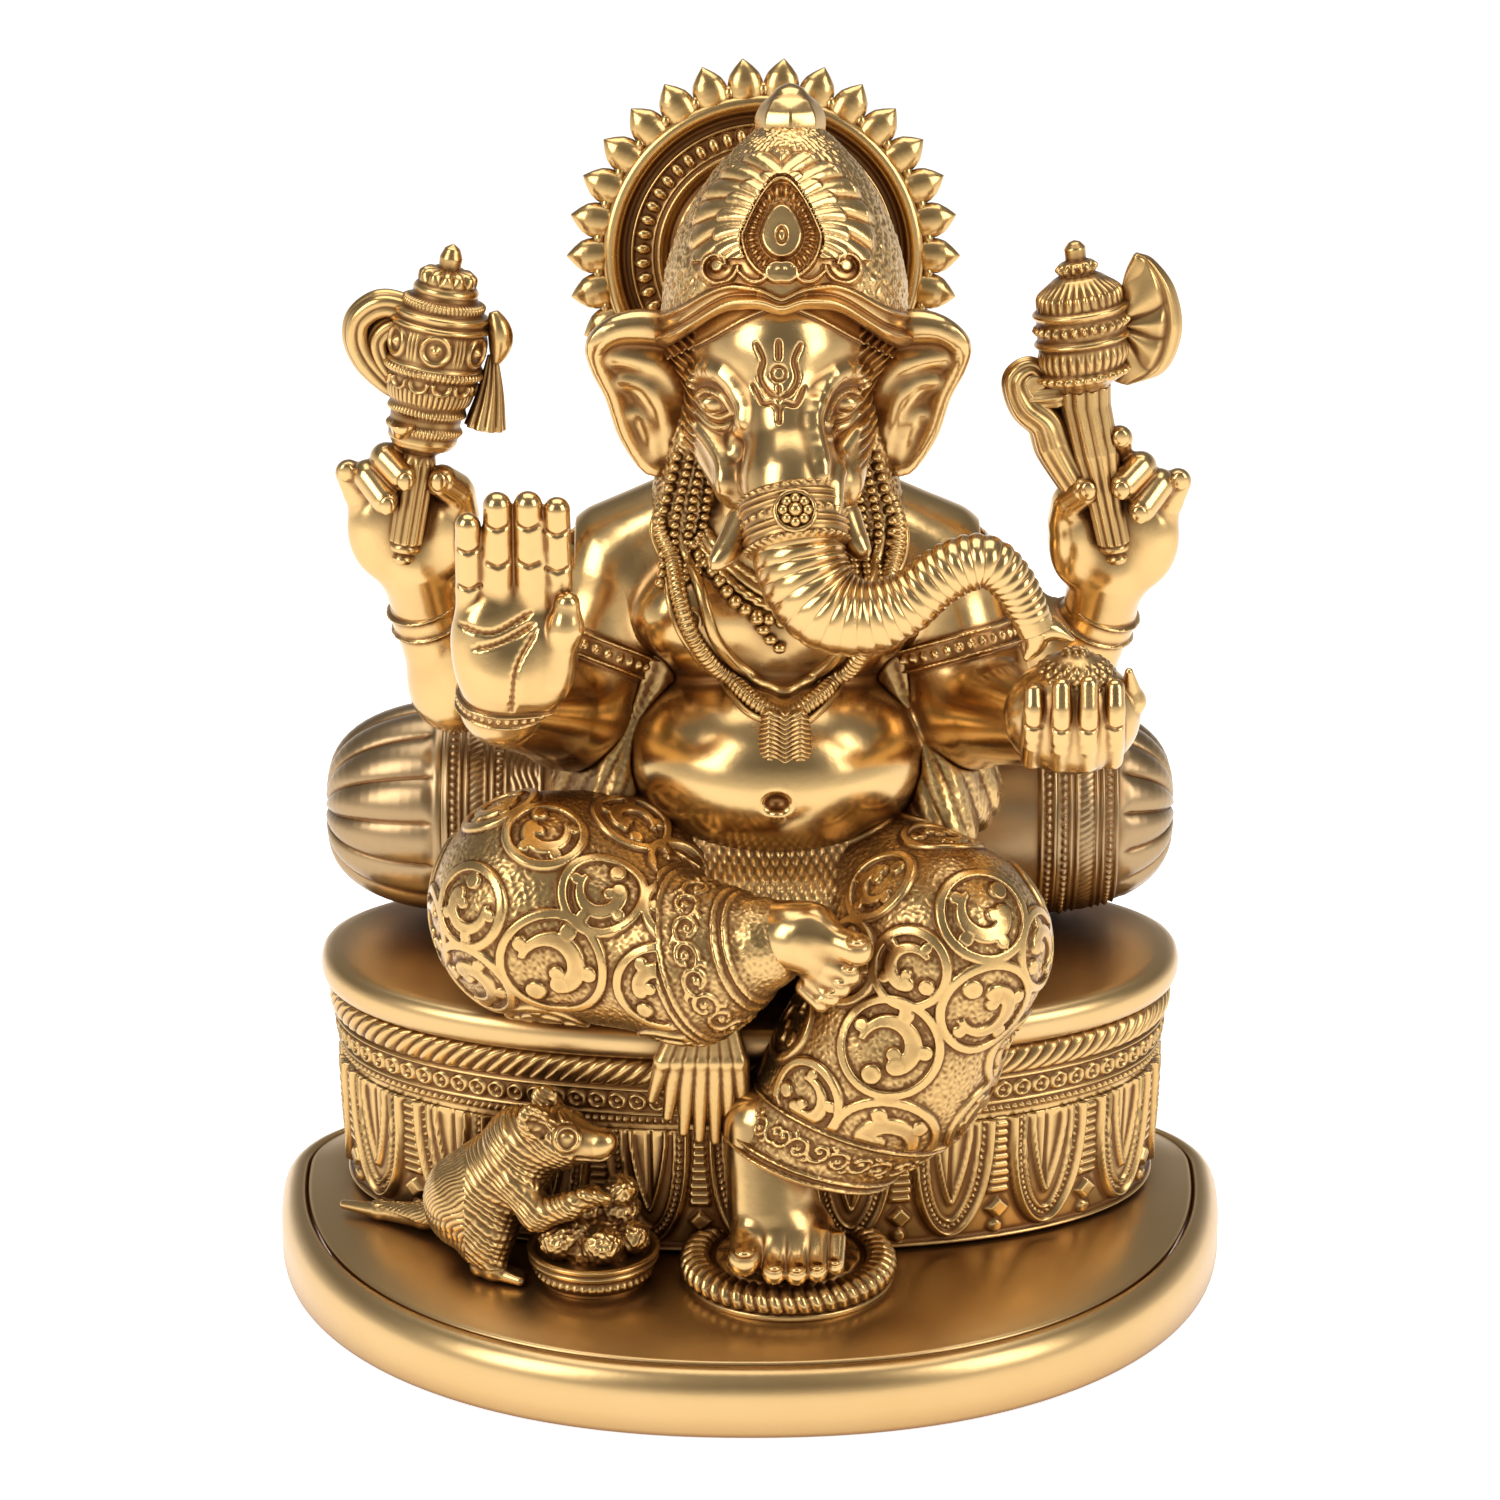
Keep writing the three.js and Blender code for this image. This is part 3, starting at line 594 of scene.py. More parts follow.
def make_torso():
    navel = land(torso, FIGURE_X, 121.5)
    nipples = [land(torso, x, 157) for x in (-12.5, 23.5)]
    body = share(skin, body_and_neck, list(arm_bodies.values()))
    body = cut(1.6, body, ball(navel, (2.5, 2.6, 1.9)))

    def height(p):
        rise = np.zeros(len(p), np.float32)
        for nipple in nipples:
            r = length(p - nipple)
            rise += 0.5 * bump(r - 2.3, 0.6) + 0.7 * bump(r, 1.2)
        r = length(p - navel - np.float32((0, 0, -2.6)))
        return rise + 0.6 * bump(r, 2.2)

    return sculpt("torso_cast", emboss(body, height), (-36, -34, 96), (48, 30, 184), 0.5)


def make_shawl():
    """The folds of cloth that fill in behind the arms, on both sides of the belly."""
    sides = []
    for side in (-1, 1):
        top, low = FIGURE_X + side * 26, FIGURE_X + side * 37
        sides.append(limb((top, 10, 152), (low, 7, 112), 9.4, 11))
        sides.append(limb((top - side * 3, 8, 150), (low - side * 8, 5, 112), 8.4, 10))
        sides.append(limb((low - side * 4, 0, 132), (low - side * 3, -6, 108), 5, 8))
    cloth = union(5, *sides)

    def height(p):
        x, y, z = p.T
        fold = (np.abs(x - FIGURE_X) * 0.9 + z * 0.34 + y * 0.2) * 0.8
        return 0.5 * np.abs(np.sin(fold)) * smooth_step(16, 4, y) + 0.1 * grain(p, 3.0)

    body = cut(0.8, emboss(cloth, height), torso, *arm_bodies.values(), under_seat)
    return sculpt("shawl_cast", body, (-54, -18, 98), (64, 26, 162), 0.45)


def make_locks():
    """The hair that falls beside the neck, on which the strands of beads lie."""
    body = cut(0.5, emboss(locks, lambda p: 0.3 * grain(p, 2.4)), torso)
    return sculpt("locks_cast", body, (-20, -6, 168), (32, 20, 214), 0.4)


def make_arm(name):
    shoulder, elbow, wrist, _ = ARMS[name]
    others = [torso, neck] + [arm for other, arm in arm_bodies.items() if other != name]
    reach = math.dist(shoulder, elbow)
    armlet = bangle(shoulder, elbow, reach * 0.5, 4.4)
    cuff = bangle(elbow, wrist, math.dist(elbow, wrist) - 1.5, 4.4, 0)
    side = 1 if "left" in name else -1
    cuffed = "rear" in name

    def height(p):
        upper = length(p - np.float32(shoulder)) < length(p - np.float32(wrist))
        return np.where(upper & ((p[:, 0] - FIGURE_X) * side > 24), armlet(p), cuff(p) * (~upper & cuffed))

    body = emboss(share(skin, arm_bodies[name], others), height)
    ends = np.array([shoulder, elbow, wrist])
    return sculpt(name + "_arm_cast", body, ends.min(0) - 16, ends.max(0) + 16, 0.42)


# ---------------------------------------------------------------- hands


def pad_finger(points, radius):
    """A finger as three soft pads with creases between them."""
    joints = np.float32(points)
    pads = []
    for k, (a, b) in enumerate(zip(joints, joints[1:])):
        r = radius * (1 - 0.05 * k)
        pads.append(limb(a + (b - a) * 0.14, b - (b - a) * 0.14, r, r * 0.97))
    return union(0.8, *pads)


def front_right_hand():
    """The raised palm, with its fingers together and the thumb beside them."""
    shown = [(-55.9, 191.0, 2.9), (-50.0, 196.0, 3.25), (-43.9, 196.2, 3.25), (-38.2, 194.8, 3.0)]
    fingers = [
        pad_finger([(x, -42.8, 167), (x, -44.2, 175.5), (x, -45.2, 184), (x, -46.6, top - r)], r)
        for x, top, r in shown
    ]
    webs = [limb((-52, -43, 166), (-51, -45, 185), 3, 2.4), limb((-42, -43, 166), (-43, -45.4, 188), 4, 2.6)]
    palm = union(
        3.5,
        ball((-47.0, -42.6, 163), (12.6, 5.2, 13.5)),
        ball((-52.6, -45, 160.5), (6.4, 4.6, 11)),
        ball((-41.4, -45.6, 158.4), (6.4, 5.2, 10)),
        limb((-50.2, -37, 147), (-48.4, -42, 156), 8.8, 9.4),
    )
    thumb = union(
        2,
        limb((-40.4, -45.6, 156), (-36.7, -47.6, 166.5), 4.6, 3.3),
        limb((-36.7, -47.6, 166.5), (-36.3, -47.8, 171.6), 3.3, 2.5),
    )
    hand = union(0.9, palm, *fingers, *webs, thumb)
    lines = [
        [(-58, 167), (-51, 166), (-43.6, 169.6)],
        [(-55, 162.6), (-49, 164.4), (-43, 167.6)],
        [(-42.6, 166.6), (-46.6, 159), (-47.6, 149.4)],
    ]
    creases = [chain(0.4, land_line(hand, curve(line, 12)), [0.15, *[0.45] * 10, 0.15]) for line in lines]
    for x, top, _ in shown:
        for z in (top - 16.5, top - 8.6):
            across = [(x - 2.2, z + 0.4), (x, z - 0.4), (x + 2.2, z + 0.4)]
            creases.append(chain(0.3, land_line(hand, across), [0.26] * 3))
    return cut(0.7, hand, *creases)


def front_left_hand():
    """The hand closed round the sweet, with its four fingers up the front."""
    fingers = []
    for x, top in [(56.6, 156.4), (62.0, 158.4), (67.4, 159), (72.8, 157.4)]:
        back = 2.2 * ((x - 64.8) / 8) ** 2
        bends = [(-48.8, 137.8), (-53.3, 144), (-54.5, 151), (-52.6, top - 2)]
        fingers.append(pad_finger([(x, y + back, z) for y, z in bends], 2.25))
    palm = ball((64.8, -43, 146.4), (13.8, 11.6, 12.0))
    fist = union(3, palm, limb((60, -31, 141), (63, -38, 143), 8.6, 9))
    thumb = chain(1, [(73.0, -42, 143.6), (76.6, -44.6, 150), (75.8, -46.6, 156.8)], [3.2, 2.8, 0.9])
    hand = union(0.8, union(0.5, fist, *fingers), thumb)
    creases = []
    for x in (56.6, 62.0, 67.4, 72.8):
        across = land_line(hand, [(x - 1.6, 147.6), (x, 147.2), (x + 1.6, 147.6)])
        creases.append(chain(0.3, across, [0.26] * 3))
    return cut(0.5, hand, *creases)


def rear_hand(side, wrist, centre, index_tip):
    """A hand that grips an upright handle between its bent fingers and its thumb."""

    def at(out, y, z):
        return (centre[0] + side * out, centre[1] + y, centre[2] + z)

    palm = union(
        4,
        ball(centre, (12, 5.8, 13)),
        limb(wrist, at(-1, 1, -8), 7.8, 8.4),
        ball(at(-9, -3, 0), (5, 4.8, 9)),
        ball(at(7.5, -1, 0), (5.4, 4.8, 9)),
    )
    tips = [(-6.6, -8.5, 12.9), index_tip, (0.2, -10, 13.4), (4.1, -10, 8.2), (12.9, -3, 13.4)]
    fingers = [
        pad_finger([at(-10.5, -2, 3), at(-10, -5, 9.5), at(*tips[0])], 3.8),
        pad_finger([at(-0.6, 1, 12), at(0, -3, 18.5), at(*tips[1])], 3.0),
        pad_finger([at(3, -1, 12), at(5, -5.5, 17.2), at(*tips[2])], 3.4),
        pad_finger([at(6.5, -1, 9), at(9, -5, 13.4), at(*tips[3])], 3.3),
        pad_finger([at(9.5, 0, 3), at(11, -2, 8), at(*tips[4])], 3.1),
    ]
    nails = [ball(at(out, y - 3.0, z + 0.4), (1.7, 0.8, 2.0)) for out, y, z in tips]
    return union(0.5, union(1.2, palm, *fingers), *nails)


HANDS = {
    "front_right_hand": front_right_hand(),
    "front_left_hand": front_left_hand(),
    "rear_right_hand": rear_hand(-1, (-68.4, 13.5, 153), (-70.8, 10, 169.4), (0.4, -14.0, 27.4)),
    "rear_left_hand": rear_hand(1, (74.2, 13.5, 152), (76.4, 10, 167.5), (0.0, -7, 23.8)),
}


def make_hand(node):
    field = HANDS[node]
    if node == "front_right_hand":
        field = emboss(field, bangle((-50.6, -36, 140), (-49.4, -40, 160), 8.4, 3.4, 36, 0.9))
    return sculpt_node(node, field, 4, 0.32)


# ---------------------------------------------------------------- legs and clothes


def scatter(field, low, high, spacing, first, seed):
    """Points spread over a surface, no two closer than spacing, after the first ones given."""
    tries = 9000
    rng = np.random.default_rng(seed)
    low, high = np.float32(low), np.float32(high)
    p = np.float32(rng.uniform(low, high, (tries, 3)))
    p = p[np.abs(evaluate(field, p)) < 4]
    for _ in range(5):
        p = settle(field, p, 3.0)
    chosen = [np.float32(q) for q in first]
    for q in p:
        if np.all((q > low) & (q < high)) and all(np.linalg.norm(q - c) > spacing for c in chosen):
            chosen.append(q)
    return np.array(chosen)


def medallions(field, centres, radii):
    """Raised rings, each with a scroll and leaves in it, at centres on the field's surface."""
    _, normals = gradient(field, np.float32(centres), 0.5)
    normals /= length(normals)[:, None]
    placed = []
    for k, (c, n, r) in enumerate(zip(np.float32(centres), normals, radii)):
        u = unit(np.cross(n, (0.3, 0.5, 0.8)))
        v = np.cross(n, u)
        turn = 2.4 * k
        u, v = u * math.cos(turn) + v * math.sin(turn), v * math.cos(turn) - u * math.sin(turn)
        placed.append((c, np.float32(u), np.float32(v), r, 1 if k % 2 else -1))

    def height(p):
        rise = np.zeros(len(p), np.float32)
        for c, u, v, r, hand in placed:
            q = p - c
            near = length(q) < r + 1.2
            if near.any():
                q = q[near]
                rise[near] = np.maximum(rise[near], scroll(q @ u, q @ v, r, hand))
        return rise

    return height


def leg_medallions(field, low, high, seen, seed):
    """Medallions over a whole leg; seen holds the (x, z, radius) of those in front."""
    first = [land(field, x, z + 6, along=(0, 1, -0.12)) for x, z, _ in seen]
    centres = scatter(field, low, high, 15.5, first, seed)
    radii = [r for _, _, r in seen] + [8.0] * (len(centres) - len(seen))
    return medallions(field, centres, radii)


def vine(u, v, pitch, half):
    """A running scroll along a band: u goes along it, and v across it from -half to half."""
    stem = smooth_step(0.75, 0.3, np.abs(v - 0.55 * half * np.sin(TAU * u / pitch)))
    k = np.mod(u / (pitch / 2) + 0.5, 1) - 0.5
    flip = np.where(np.mod(np.floor(u / (pitch / 2) + 0.5), 2) > 0.5, -1, 1)
    du, dv = k * pitch / 2, (v + flip * 0.1 * half) * flip
    r = np.hypot(du, dv)
    winding = half * (0.62 - 0.38 * np.mod(np.arctan2(dv, du) / TAU, 1))
    curl = smooth_step(0.6, 0.25, np.abs(r - winding)) * (r < 0.75 * half)
    bud = 1.1 * smooth_step(0.9, 0.4, r)
    return np.max([0.8 * stem * (r > 0.62 * half), curl, bud], 0) * (np.abs(v) < half)


right_leg_body = union(
    6,
    limb((-10, 0, 93), (-43, -19, 97), 21, 22.5),
    limb((-43, -22, 95), (-12, -37, 90.5), 21.5, 16),
    limb((-12, -38, 91), (2, -44, 97), 15.2, 9.8),
)
left_leg_body = union(
    6,
    limb((22, 0, 93), (41, -31, 92), 20, 20),
    limb((40, -31, 91), (28, -31, 66), 20, 21),
    limb((29.6, -30, 68), (9.3, -31.6, 43), 21, 16.6),
)
HEM = ((11, -46, 44.5), (-0.33, -0.05, -1))  # a point on the left trouser's hem, and the way it faces


def under_seat(p):
    """The space that the slab and the throne fill."""
    return np.maximum(p[:, 2] - SLAB_TOP, -18 - p[:, 1])


def make_right_leg():
    """The folded leg in its patterned trouser, with a vine between borders above the cuff."""
    seen = [
        (-40.5, 92, 11.0), (-19, 89, 8.8), (-32, 72, 11.5), (-57, 86, 9.0), (-58, 103, 8.4), (-30, 107, 8.4),
    ]
    low, high = node_box("right_leg")
    rings = leg_medallions(right_leg_body, low - 1, (-13, high[1], high[2] + 1), seen, seed=5)
    cuff = along((-12, -38, 91), (2, -44, 97))

    def height(p):
        s, angle, _ = cuff(p)
        on_shin = (p[:, 1] < -24) & (p[:, 0] > -19)
        wave = vine(angle * 11, s - 7.2, 8.6, 4.6) * 0.55
        borders = np.max([bump(s - at, 0.8) for at in (0.2, 1.9, 12.4, 14.4)], 0) * 0.7
        band = np.maximum(wave, borders) * on_shin
        field_of_rings = rings(p) * np.where(on_shin, smooth_step(0, -1.6, s), 1)
        ground = 0.13 * grain(p, 2.3) * (field_of_rings < 0.1)
        return np.maximum(field_of_rings, band) + ground

    body = cut(1.0, emboss(right_leg_body, height), under_seat, left_leg_body)
    return sculpt_node("right_leg", body, 4, 0.36)


def make_left_leg():
    """The hanging leg in its patterned trouser, with a vine between borders above the hem."""
    seen = [
        (28.5, 76, 10.2), (27.5, 54, 11.0), (11.5, 63, 8.0), (48.5, 84, 10.0), (20, 92, 8.4), (48, 104, 9.4),
    ]
    low, high = node_box("left_leg")
    rings = leg_medallions(left_leg_body, low - 1, high + 1, seen, seed=8)
    hem = half_space(*HEM)
    shin = along((40, -31, 91), (9.3, -31.6, 43))

    def height(p):
        up = -hem(p)
        _, angle, _ = shin(p)
        wave = vine(angle * 20, up - 8.2, 9.5, 4.4) * 0.55
        borders = np.max([bump(up - at, 0.75) for at in (1.0, 2.9, 13.4)], 0) * 0.75
        field_of_rings = rings(p) * smooth_step(13.6, 15.5, up)
        ground = 0.13 * grain(p, 2.3) * (field_of_rings < 0.1)
        return np.maximum(field_of_rings, np.maximum(wave, borders)) + ground

    body = cut(1.0, emboss(left_leg_body, height), lambda p: -hem(p), under_seat)
    return sculpt_node("left_leg", body, 4, 0.36)


waist = union(4, ball((FIGURE_X, 2, 99), (37, 26, 24)), ball((4, -20, 94), (23, 14, 13)))


def make_waist():
    """The cloth at the waist: finely hatched at the sides, with a scaled belt in the middle."""

    def height(p):
        x, y, z = p.T
        side = np.abs(x - FIGURE_X)
        hatch = 0.35 * np.abs(np.sin((side * 0.45 + z * 0.9) * 2.1))
        scales = 0.3 * np.abs(np.sin(x * 1.5 + z * 1.2) * np.sin(x * 1.5 - z * 1.2))
        edge = bump(side - 15 - (z - 96) * 0.35, 1.0) * 0.6
        return np.where(side < 15 + (z - 96) * 0.35, scales, hatch) + edge

    body = cut(0.6, emboss(waist, height), under_seat)
    return sculpt_node("waist_wrap", body, 4, 0.4)


def make_sash():
    """A fan of narrow pleats that falls from the waist in front of the throne."""
    ends = [(-20.4, 58), (-17.2, 54), (-13.9, 50.5), (-10.6, 49), (-7.2, 48.6), (-4.0, 50), (-0.9, 54)]
    pleats = []
    for x, bottom in ends:
        points = [(-8 + (x + 8) * 0.35, -32, 80), (-8 + (x + 8) * 0.8, -34.8, 67), (x, -33.4, bottom)]
        pleats.append(chain(0.4, points, [1.7, 2.2, 1.2]))
    backing = chain(2, [(-8, -28, 80), (-9, -29, 68), (-10, -28.6, 56)], [5, 6, 6])
    low, high = node_box("hanging_sash")
    return sculpt("sash_cast", union(0.2, backing, *pleats), low - 5, high + (8, 5, 10), 0.34)


def toe(a, b, radius):
    """A toe with a flat nail on top."""
    a, b = np.float32(a), np.float32(b)
    nail_at = b + np.float32((0, -radius * 0.35, radius * 0.72))
    nail = ball(nail_at, (radius * 0.62, radius * 0.75, radius * 0.3))
    return union(0.4, limb(a, b, radius * 0.92, radius), nail)


right_foot = union(
    2.2,
    limb((-2, -40.5, 97), (12, -48, 101), 8.4, 6.6),
    limb((9, -48, 100), (16, -50, 96), 6.6, 5.0),
    union(
        0.7,
        toe((15, -51, 101.4), (21.6, -54, 100), 3.5),
        toe((15, -51, 97), (20.2, -54, 94.6), 2.4),
        toe((14, -51, 94), (18.4, -54, 91.8), 2.2),
        toe((12.6, -51, 91.6), (16.4, -54, 89.6), 2.0),
        toe((11, -50, 90), (14.4, -53.2, 88), 1.9),
    ),
)

left_toes = [
    toe((x + 0.6, -46, 31.8), (x, y, z), radius)
    for x, y, z, radius in [
        (-1.2, -51.5, 29.6, 3.7), (5.0, -53.9, 27.8, 2.6), (9.6, -54.1, 27.6, 2.5), (13.8, -53.1, 27.6, 2.3),
        (17.6, -50.9, 27.8, 2.0),
    ]
]
left_foot = union(
    2.4,
    limb((3.6, -33, 52), (4.6, -39, 35), 9.4, 9.4),
    ball((7.2, -43, 31), (10.8, 10, 6.2), (35, 0, 0)),
    union(0.6, *left_toes),
)


# ---------------------------------------------------------------- swept shapes


def sweep(path, radii, sides=16, up=(0, 1, 0), shape=None):
    """A bar along a path as rows of points; shape(distance along, angle) adds to its radius."""
    tangent = np.gradient(path, axis=0)
    tangent /= length(tangent)[:, None]
    across = np.cross(tangent, np.float64(up))
    across /= length(across)[:, None]
    other = np.cross(tangent, across)
    angle = np.arange(sides) / sides * TAU
    s, a = np.meshgrid(distance_along(path), angle, indexing="ij")
    r = np.broadcast_to(np.asarray(radii, float).reshape(-1, 1), s.shape)
    r = r + (shape(s, a) if shape else 0)
    out = np.cos(a)[..., None] * across[:, None] + np.sin(a)[..., None] * other[:, None]
    return path[:, None] + r[..., None] * out


def rope(path, radius, pitch, up=(0, 1, 0)):
    """A twisted rope along a path."""
    strands = 3

    def shape(s, a):
        return radius * 0.28 * (np.abs(np.sin((a * strands + s * TAU / pitch) / 2)) - 0.6)

    return sweep(path, np.full(len(path), radius), 14, up, shape)


def unit_bead():
    """A round bead of radius 1, as one grid of points."""
    polar, around = np.meshgrid(np.linspace(0.12, math.pi - 0.12, 7), np.arange(12) / 12 * TAU, indexing="ij")
    return np.stack([np.sin(polar) * np.cos(around), np.sin(polar) * np.sin(around), np.cos(polar)], -1)


UNIT_BEAD = unit_bead()


def beads(path, radius, spacing, squash=1.0):
    """Round beads strung along a path, as one list of point grids."""
    run = distance_along(path)
    count = max(2, int(run[-1] / spacing))
    centres = points_at(path, run, (np.arange(count) + 0.5) * run[-1] / count)
    return [c + UNIT_BEAD * (radius, radius, radius * squash) for c in centres]


def turned_rows(a, b, profile, sides=48, shape=None, step=0.35):
    """A turned piece about the line from a to b; profile holds (radius, distance along the line).
    shape(distance along the line, angle, radius) raises the surface."""
    a, b = np.float64(a), np.float64(b)
    axis = unit(b - a)
    across = unit(np.cross(axis, (0, 1, 0) if abs(axis[1]) < 0.9 else (0, 0, 1)))
    other = np.cross(axis, across)
    profile = np.float64(profile)
    run = distance_along(profile)
    radius, along_axis = points_at(profile, run, np.linspace(0, run[-1], int(run[-1] / step) + 2)).T
    slope = np.stack([np.gradient(radius), np.gradient(along_axis)], 1)
    slope /= length(slope)[:, None]
    angle = np.arange(sides) / sides * TAU
    h, t = np.meshgrid(along_axis, angle, indexing="ij")
    r = np.broadcast_to(radius[:, None], h.shape)
    rise = shape(h, t, r) if shape else 0 * h
    r = np.maximum(r + rise * slope[:, 1:], 0.02)
    h = h - rise * slope[:, :1]
    out = np.cos(t)[..., None] * across + np.sin(t)[..., None] * other
    return a + h[..., None] * axis + r[..., None] * out


# ---------------------------------------------------------------- head

skull = union(
    4,
    ball((FIGURE_X, -1, 203), (18.4, 22.5, 20)),
    ball((6, -4.6, 214.5), (18.6, 21.4, 17)),
    limb((-5.6, -9, 197), (-1.5, -21.4, 189), 8.2, 6.2),
    limb((17.6, -9, 197), (17, -21.4, 189), 8.2, 6.2),
    ball((6.2, 2, 212), (23.2, 18, 13)),
    limb((FIGURE_X, 6, 190), (FIGURE_X, 8, 174), 14, 15),
)
trunk_root = union(
    3,
    limb((6.3, -13.6, 213), (7.3, -22.6, 203.4), 12.4, 8.4),
    limb((7.3, -22.6, 203.4), (8.2, -31, 192.4), 8.4, 9.4),
    limb((8.2, -31, 192.4), (9, -36, 185), 9.4, 9.6),
)
head_body = union(3, skull, trunk_root)
BAND_AXIS = ((8.0, -32.8, 190.2), (9.7, -39.6, 179.9))
EAR_CENTRE = 5.75


def traced(field, points, radius, lift=0.0, k=0.6):
    """A line drawn on a surface through points given as (x, z) seen from the front."""
    landed = land_line(field, curve(points, 14)) + np.float32((0, -lift, 0))
    return chain(k, landed, [radius] * 14)


def on_side(points, centre, mirrored):
    """Points given as (x, z) on the idol's right, mirrored about the centre line for its left."""
    return [(2 * centre - x, z) for x, z in points] if mirrored else points


def make_head():
    """The head, with its brows, eyes, the folds below them and the mark on the forehead."""
    brow = [
        (-11.4, 207.8), (-9.2, 210.8), (-5.4, 211.2), (-2.4, 208.2), (-0.9, 204.4), (-2, 200), (-2.8, 195.6),
    ]
    upper_lid = [(-10.8, 204.4), (-8.8, 206.6), (-5.8, 206.4), (-3.4, 203.6)]
    lower_lid = [(-10.8, 204.2), (-8.6, 202.2), (-5.8, 201.8), (-3.4, 203.4)]
    under_eye = [(-10.6, 201.8), (-8.2, 200.2), (-5.6, 199.8), (-3.4, 201.2)]
    fold = [(-11.4, 199), (-8.2, 197), (-5.6, 193.4), (-5.2, 188.6)]
    prong = [(1.2, 218.6), (2.5, 215.6), (1.8, 212.4), (3.3, 210.0), (5.7, 209.0)]
    foot = [(0.4, 210.6), (2.3, 207.8), (4.5, 208.2), (5.7, 206.8)]
    eye_line, mark_line = FIGURE_X + 0.3, 5.7
    raised, lids, engraved, eyes = [], [], [], []
    for mirrored in (False, True):
        for line, radius in ((brow, 1.7), (fold, 1.3)):
            raised.append(traced(head_body, on_side(line, eye_line, mirrored), radius, -0.5, 1.5))
        for line in (upper_lid, lower_lid, under_eye):
            lids.append(traced(head_body, on_side(line, eye_line, mirrored), 0.55, 0.1))
        eye = land_line(head_body, on_side([(-7.0, 204.2)], eye_line, mirrored))[0]
        eyes.append(ball(eye + np.float32((0, 0.6, 0)), (3.2, 1.8, 1.9)))
        for line, radius in ((prong, 0.55), (foot, 0.45)):
            engraved.append(traced(head_body, on_side(line, mark_line, mirrored), radius))
    for heights in ((219.4, 217.6, 216.0), (211, 208, 204.6)):
        engraved.append(traced(head_body, [(mark_line, z) for z in heights], 0.45))
    disc = land(head_body, mark_line, 213.2)
    body = union(0.4, union(1.6, head_body, *raised), *lids, *eyes)
    body = cut(0.25, body, *engraved)

    def height(p):
        x, _, z = p.T
        side = np.abs(x - CROWN_X)
        arch = z - (225.4 - 9.8 * (side / 17) ** 1.6)
        band = 0.8 * smooth_step(-0.4, 0.5, arch) + 0.35 * bump(arch - 0.4, 0.8)
        ring = bump(length(p - disc) - 1.5, 0.6) * -0.5
        hair = smooth_step(16.2, 17.6, np.abs(x - FIGURE_X)) * (z > 192)
        return band + ring + hair * 0.4 * np.sin(z * 3.0 - np.abs(x) * 1.1)

    return sculpt_node("head", emboss(body, height), 4, 0.34)


def inside_outline(points):
    """Signed distance from (u, v) to a closed outline, negative inside."""
    a = np.float32(points)
    b = np.roll(a, -1, 0)

    def field(u, v):
        q = np.stack([u, v], 1)
        best = np.full(len(q), 1e9, np.float32)
        inside = np.zeros(len(q), bool)
        for s, e in zip(a, b):
            d = e - s
            t = np.clip((q - s) @ d / (d @ d), 0, 1)
            best = np.minimum(best, length(q - s - t[:, None] * d))
            crosses = (s[1] > q[:, 1]) != (e[1] > q[:, 1])
            at = s[0] + (q[:, 1] - s[1]) * d[0] / (d[1] if abs(d[1]) > 1e-9 else 1e-9)
            inside ^= crosses & (q[:, 0] < at)
        return np.where(inside, -best, best)

    return field


def ear(side):
    """A broad ear with a thick rolled lip and soft folds in its hollow."""

    outline = [
        (-10, 214), (-20, 217.2), (-27.8, 217), (-32.6, 213.4), (-31.6, 208), (-28.8, 201.3),
        (-26.4, 193.3), (-22.7, 186.3), (-19.5, 183.6), (-15.6, 187), (-12, 196),
    ]
    outline = on_side(outline, EAR_CENTRE, side > 0)
    flat = inside_outline(curve(outline + outline[:1], 48)[:-1])
    root, tip = EAR_CENTRE + side * 16, EAR_CENTRE + side * 38

    def depth(x, z):
        out = np.clip((x - root) / (tip - root), 0, 1.2)
        return 3.6 - 3.8 * out - 1.6 * np.exp(-(((z - 215) / 4.5) ** 2))

    def plate(p):
        x, y, z = p.T
        return np.maximum(flat(x, z), np.abs(y - depth(x, z)) - 2.0)

    def laid_chain(lift, radii, points):
        path = curve(on_side(points, EAR_CENTRE, side > 0), 34)
        nodes = [(x, float(depth(np.float32(x), np.float32(z))) - lift, z) for x, z in path]
        return chain(1, nodes, list(taper(34, radii)))

    lip = [
        (-10, 212), (-19, 215.4), (-26.8, 215.6), (-31.4, 212.2), (-31.0, 207.4), (-28.2, 201),
        (-25.8, 193), (-22, 186.6), (-19.4, 184.8),
    ]
    rim = laid_chain(0.9, [2.6, 3.2, 3.2, 2.2, 1.7, 1.5, 1.4, 1.4, 1.4], lip)
    inner_fold = [(-28.4, 209.4), (-24, 208.8), (-18.6, 206.4), (-15.4, 201), (-14.6, 194)]
    middle_fold = [(-26, 204.4), (-22.4, 203.6), (-19, 200), (-17.6, 194), (-17, 188.6)]
    outer_fold = [(-24.4, 197), (-22.2, 196.6), (-20.6, 193), (-19.8, 188)]
    folds = [
        laid_chain(0.9, [1.6, 3.0, 3.2, 1.8], inner_fold),
        laid_chain(1.2, [1.6, 3.2, 3.2, 1.8], middle_fold),
        laid_chain(0.7, [1.2, 2.3, 2.2, 1.2], outer_fold),
    ]
    return union(1.4, plate, rim, *folds)


def make_ear(node, side):
    low, high = node_box(node)
    return sculpt(node + "_cast", ear(side), low - (7, 9, 4), high + (7, 7, 4), 0.36)


def make_tusk(node, root, tip):
    points = curve([root, (np.float64(root) + tip) / 2 + (0, -0.6, -0.9), tip], 20)
    radii = taper(20, [3.4, 3.5, 2.7, 1.7, 0.4], [0, 0.1, 0.7, 0.93, 1])
    return link_grids(node + "_cast", [sweep(points, radii, 20)])


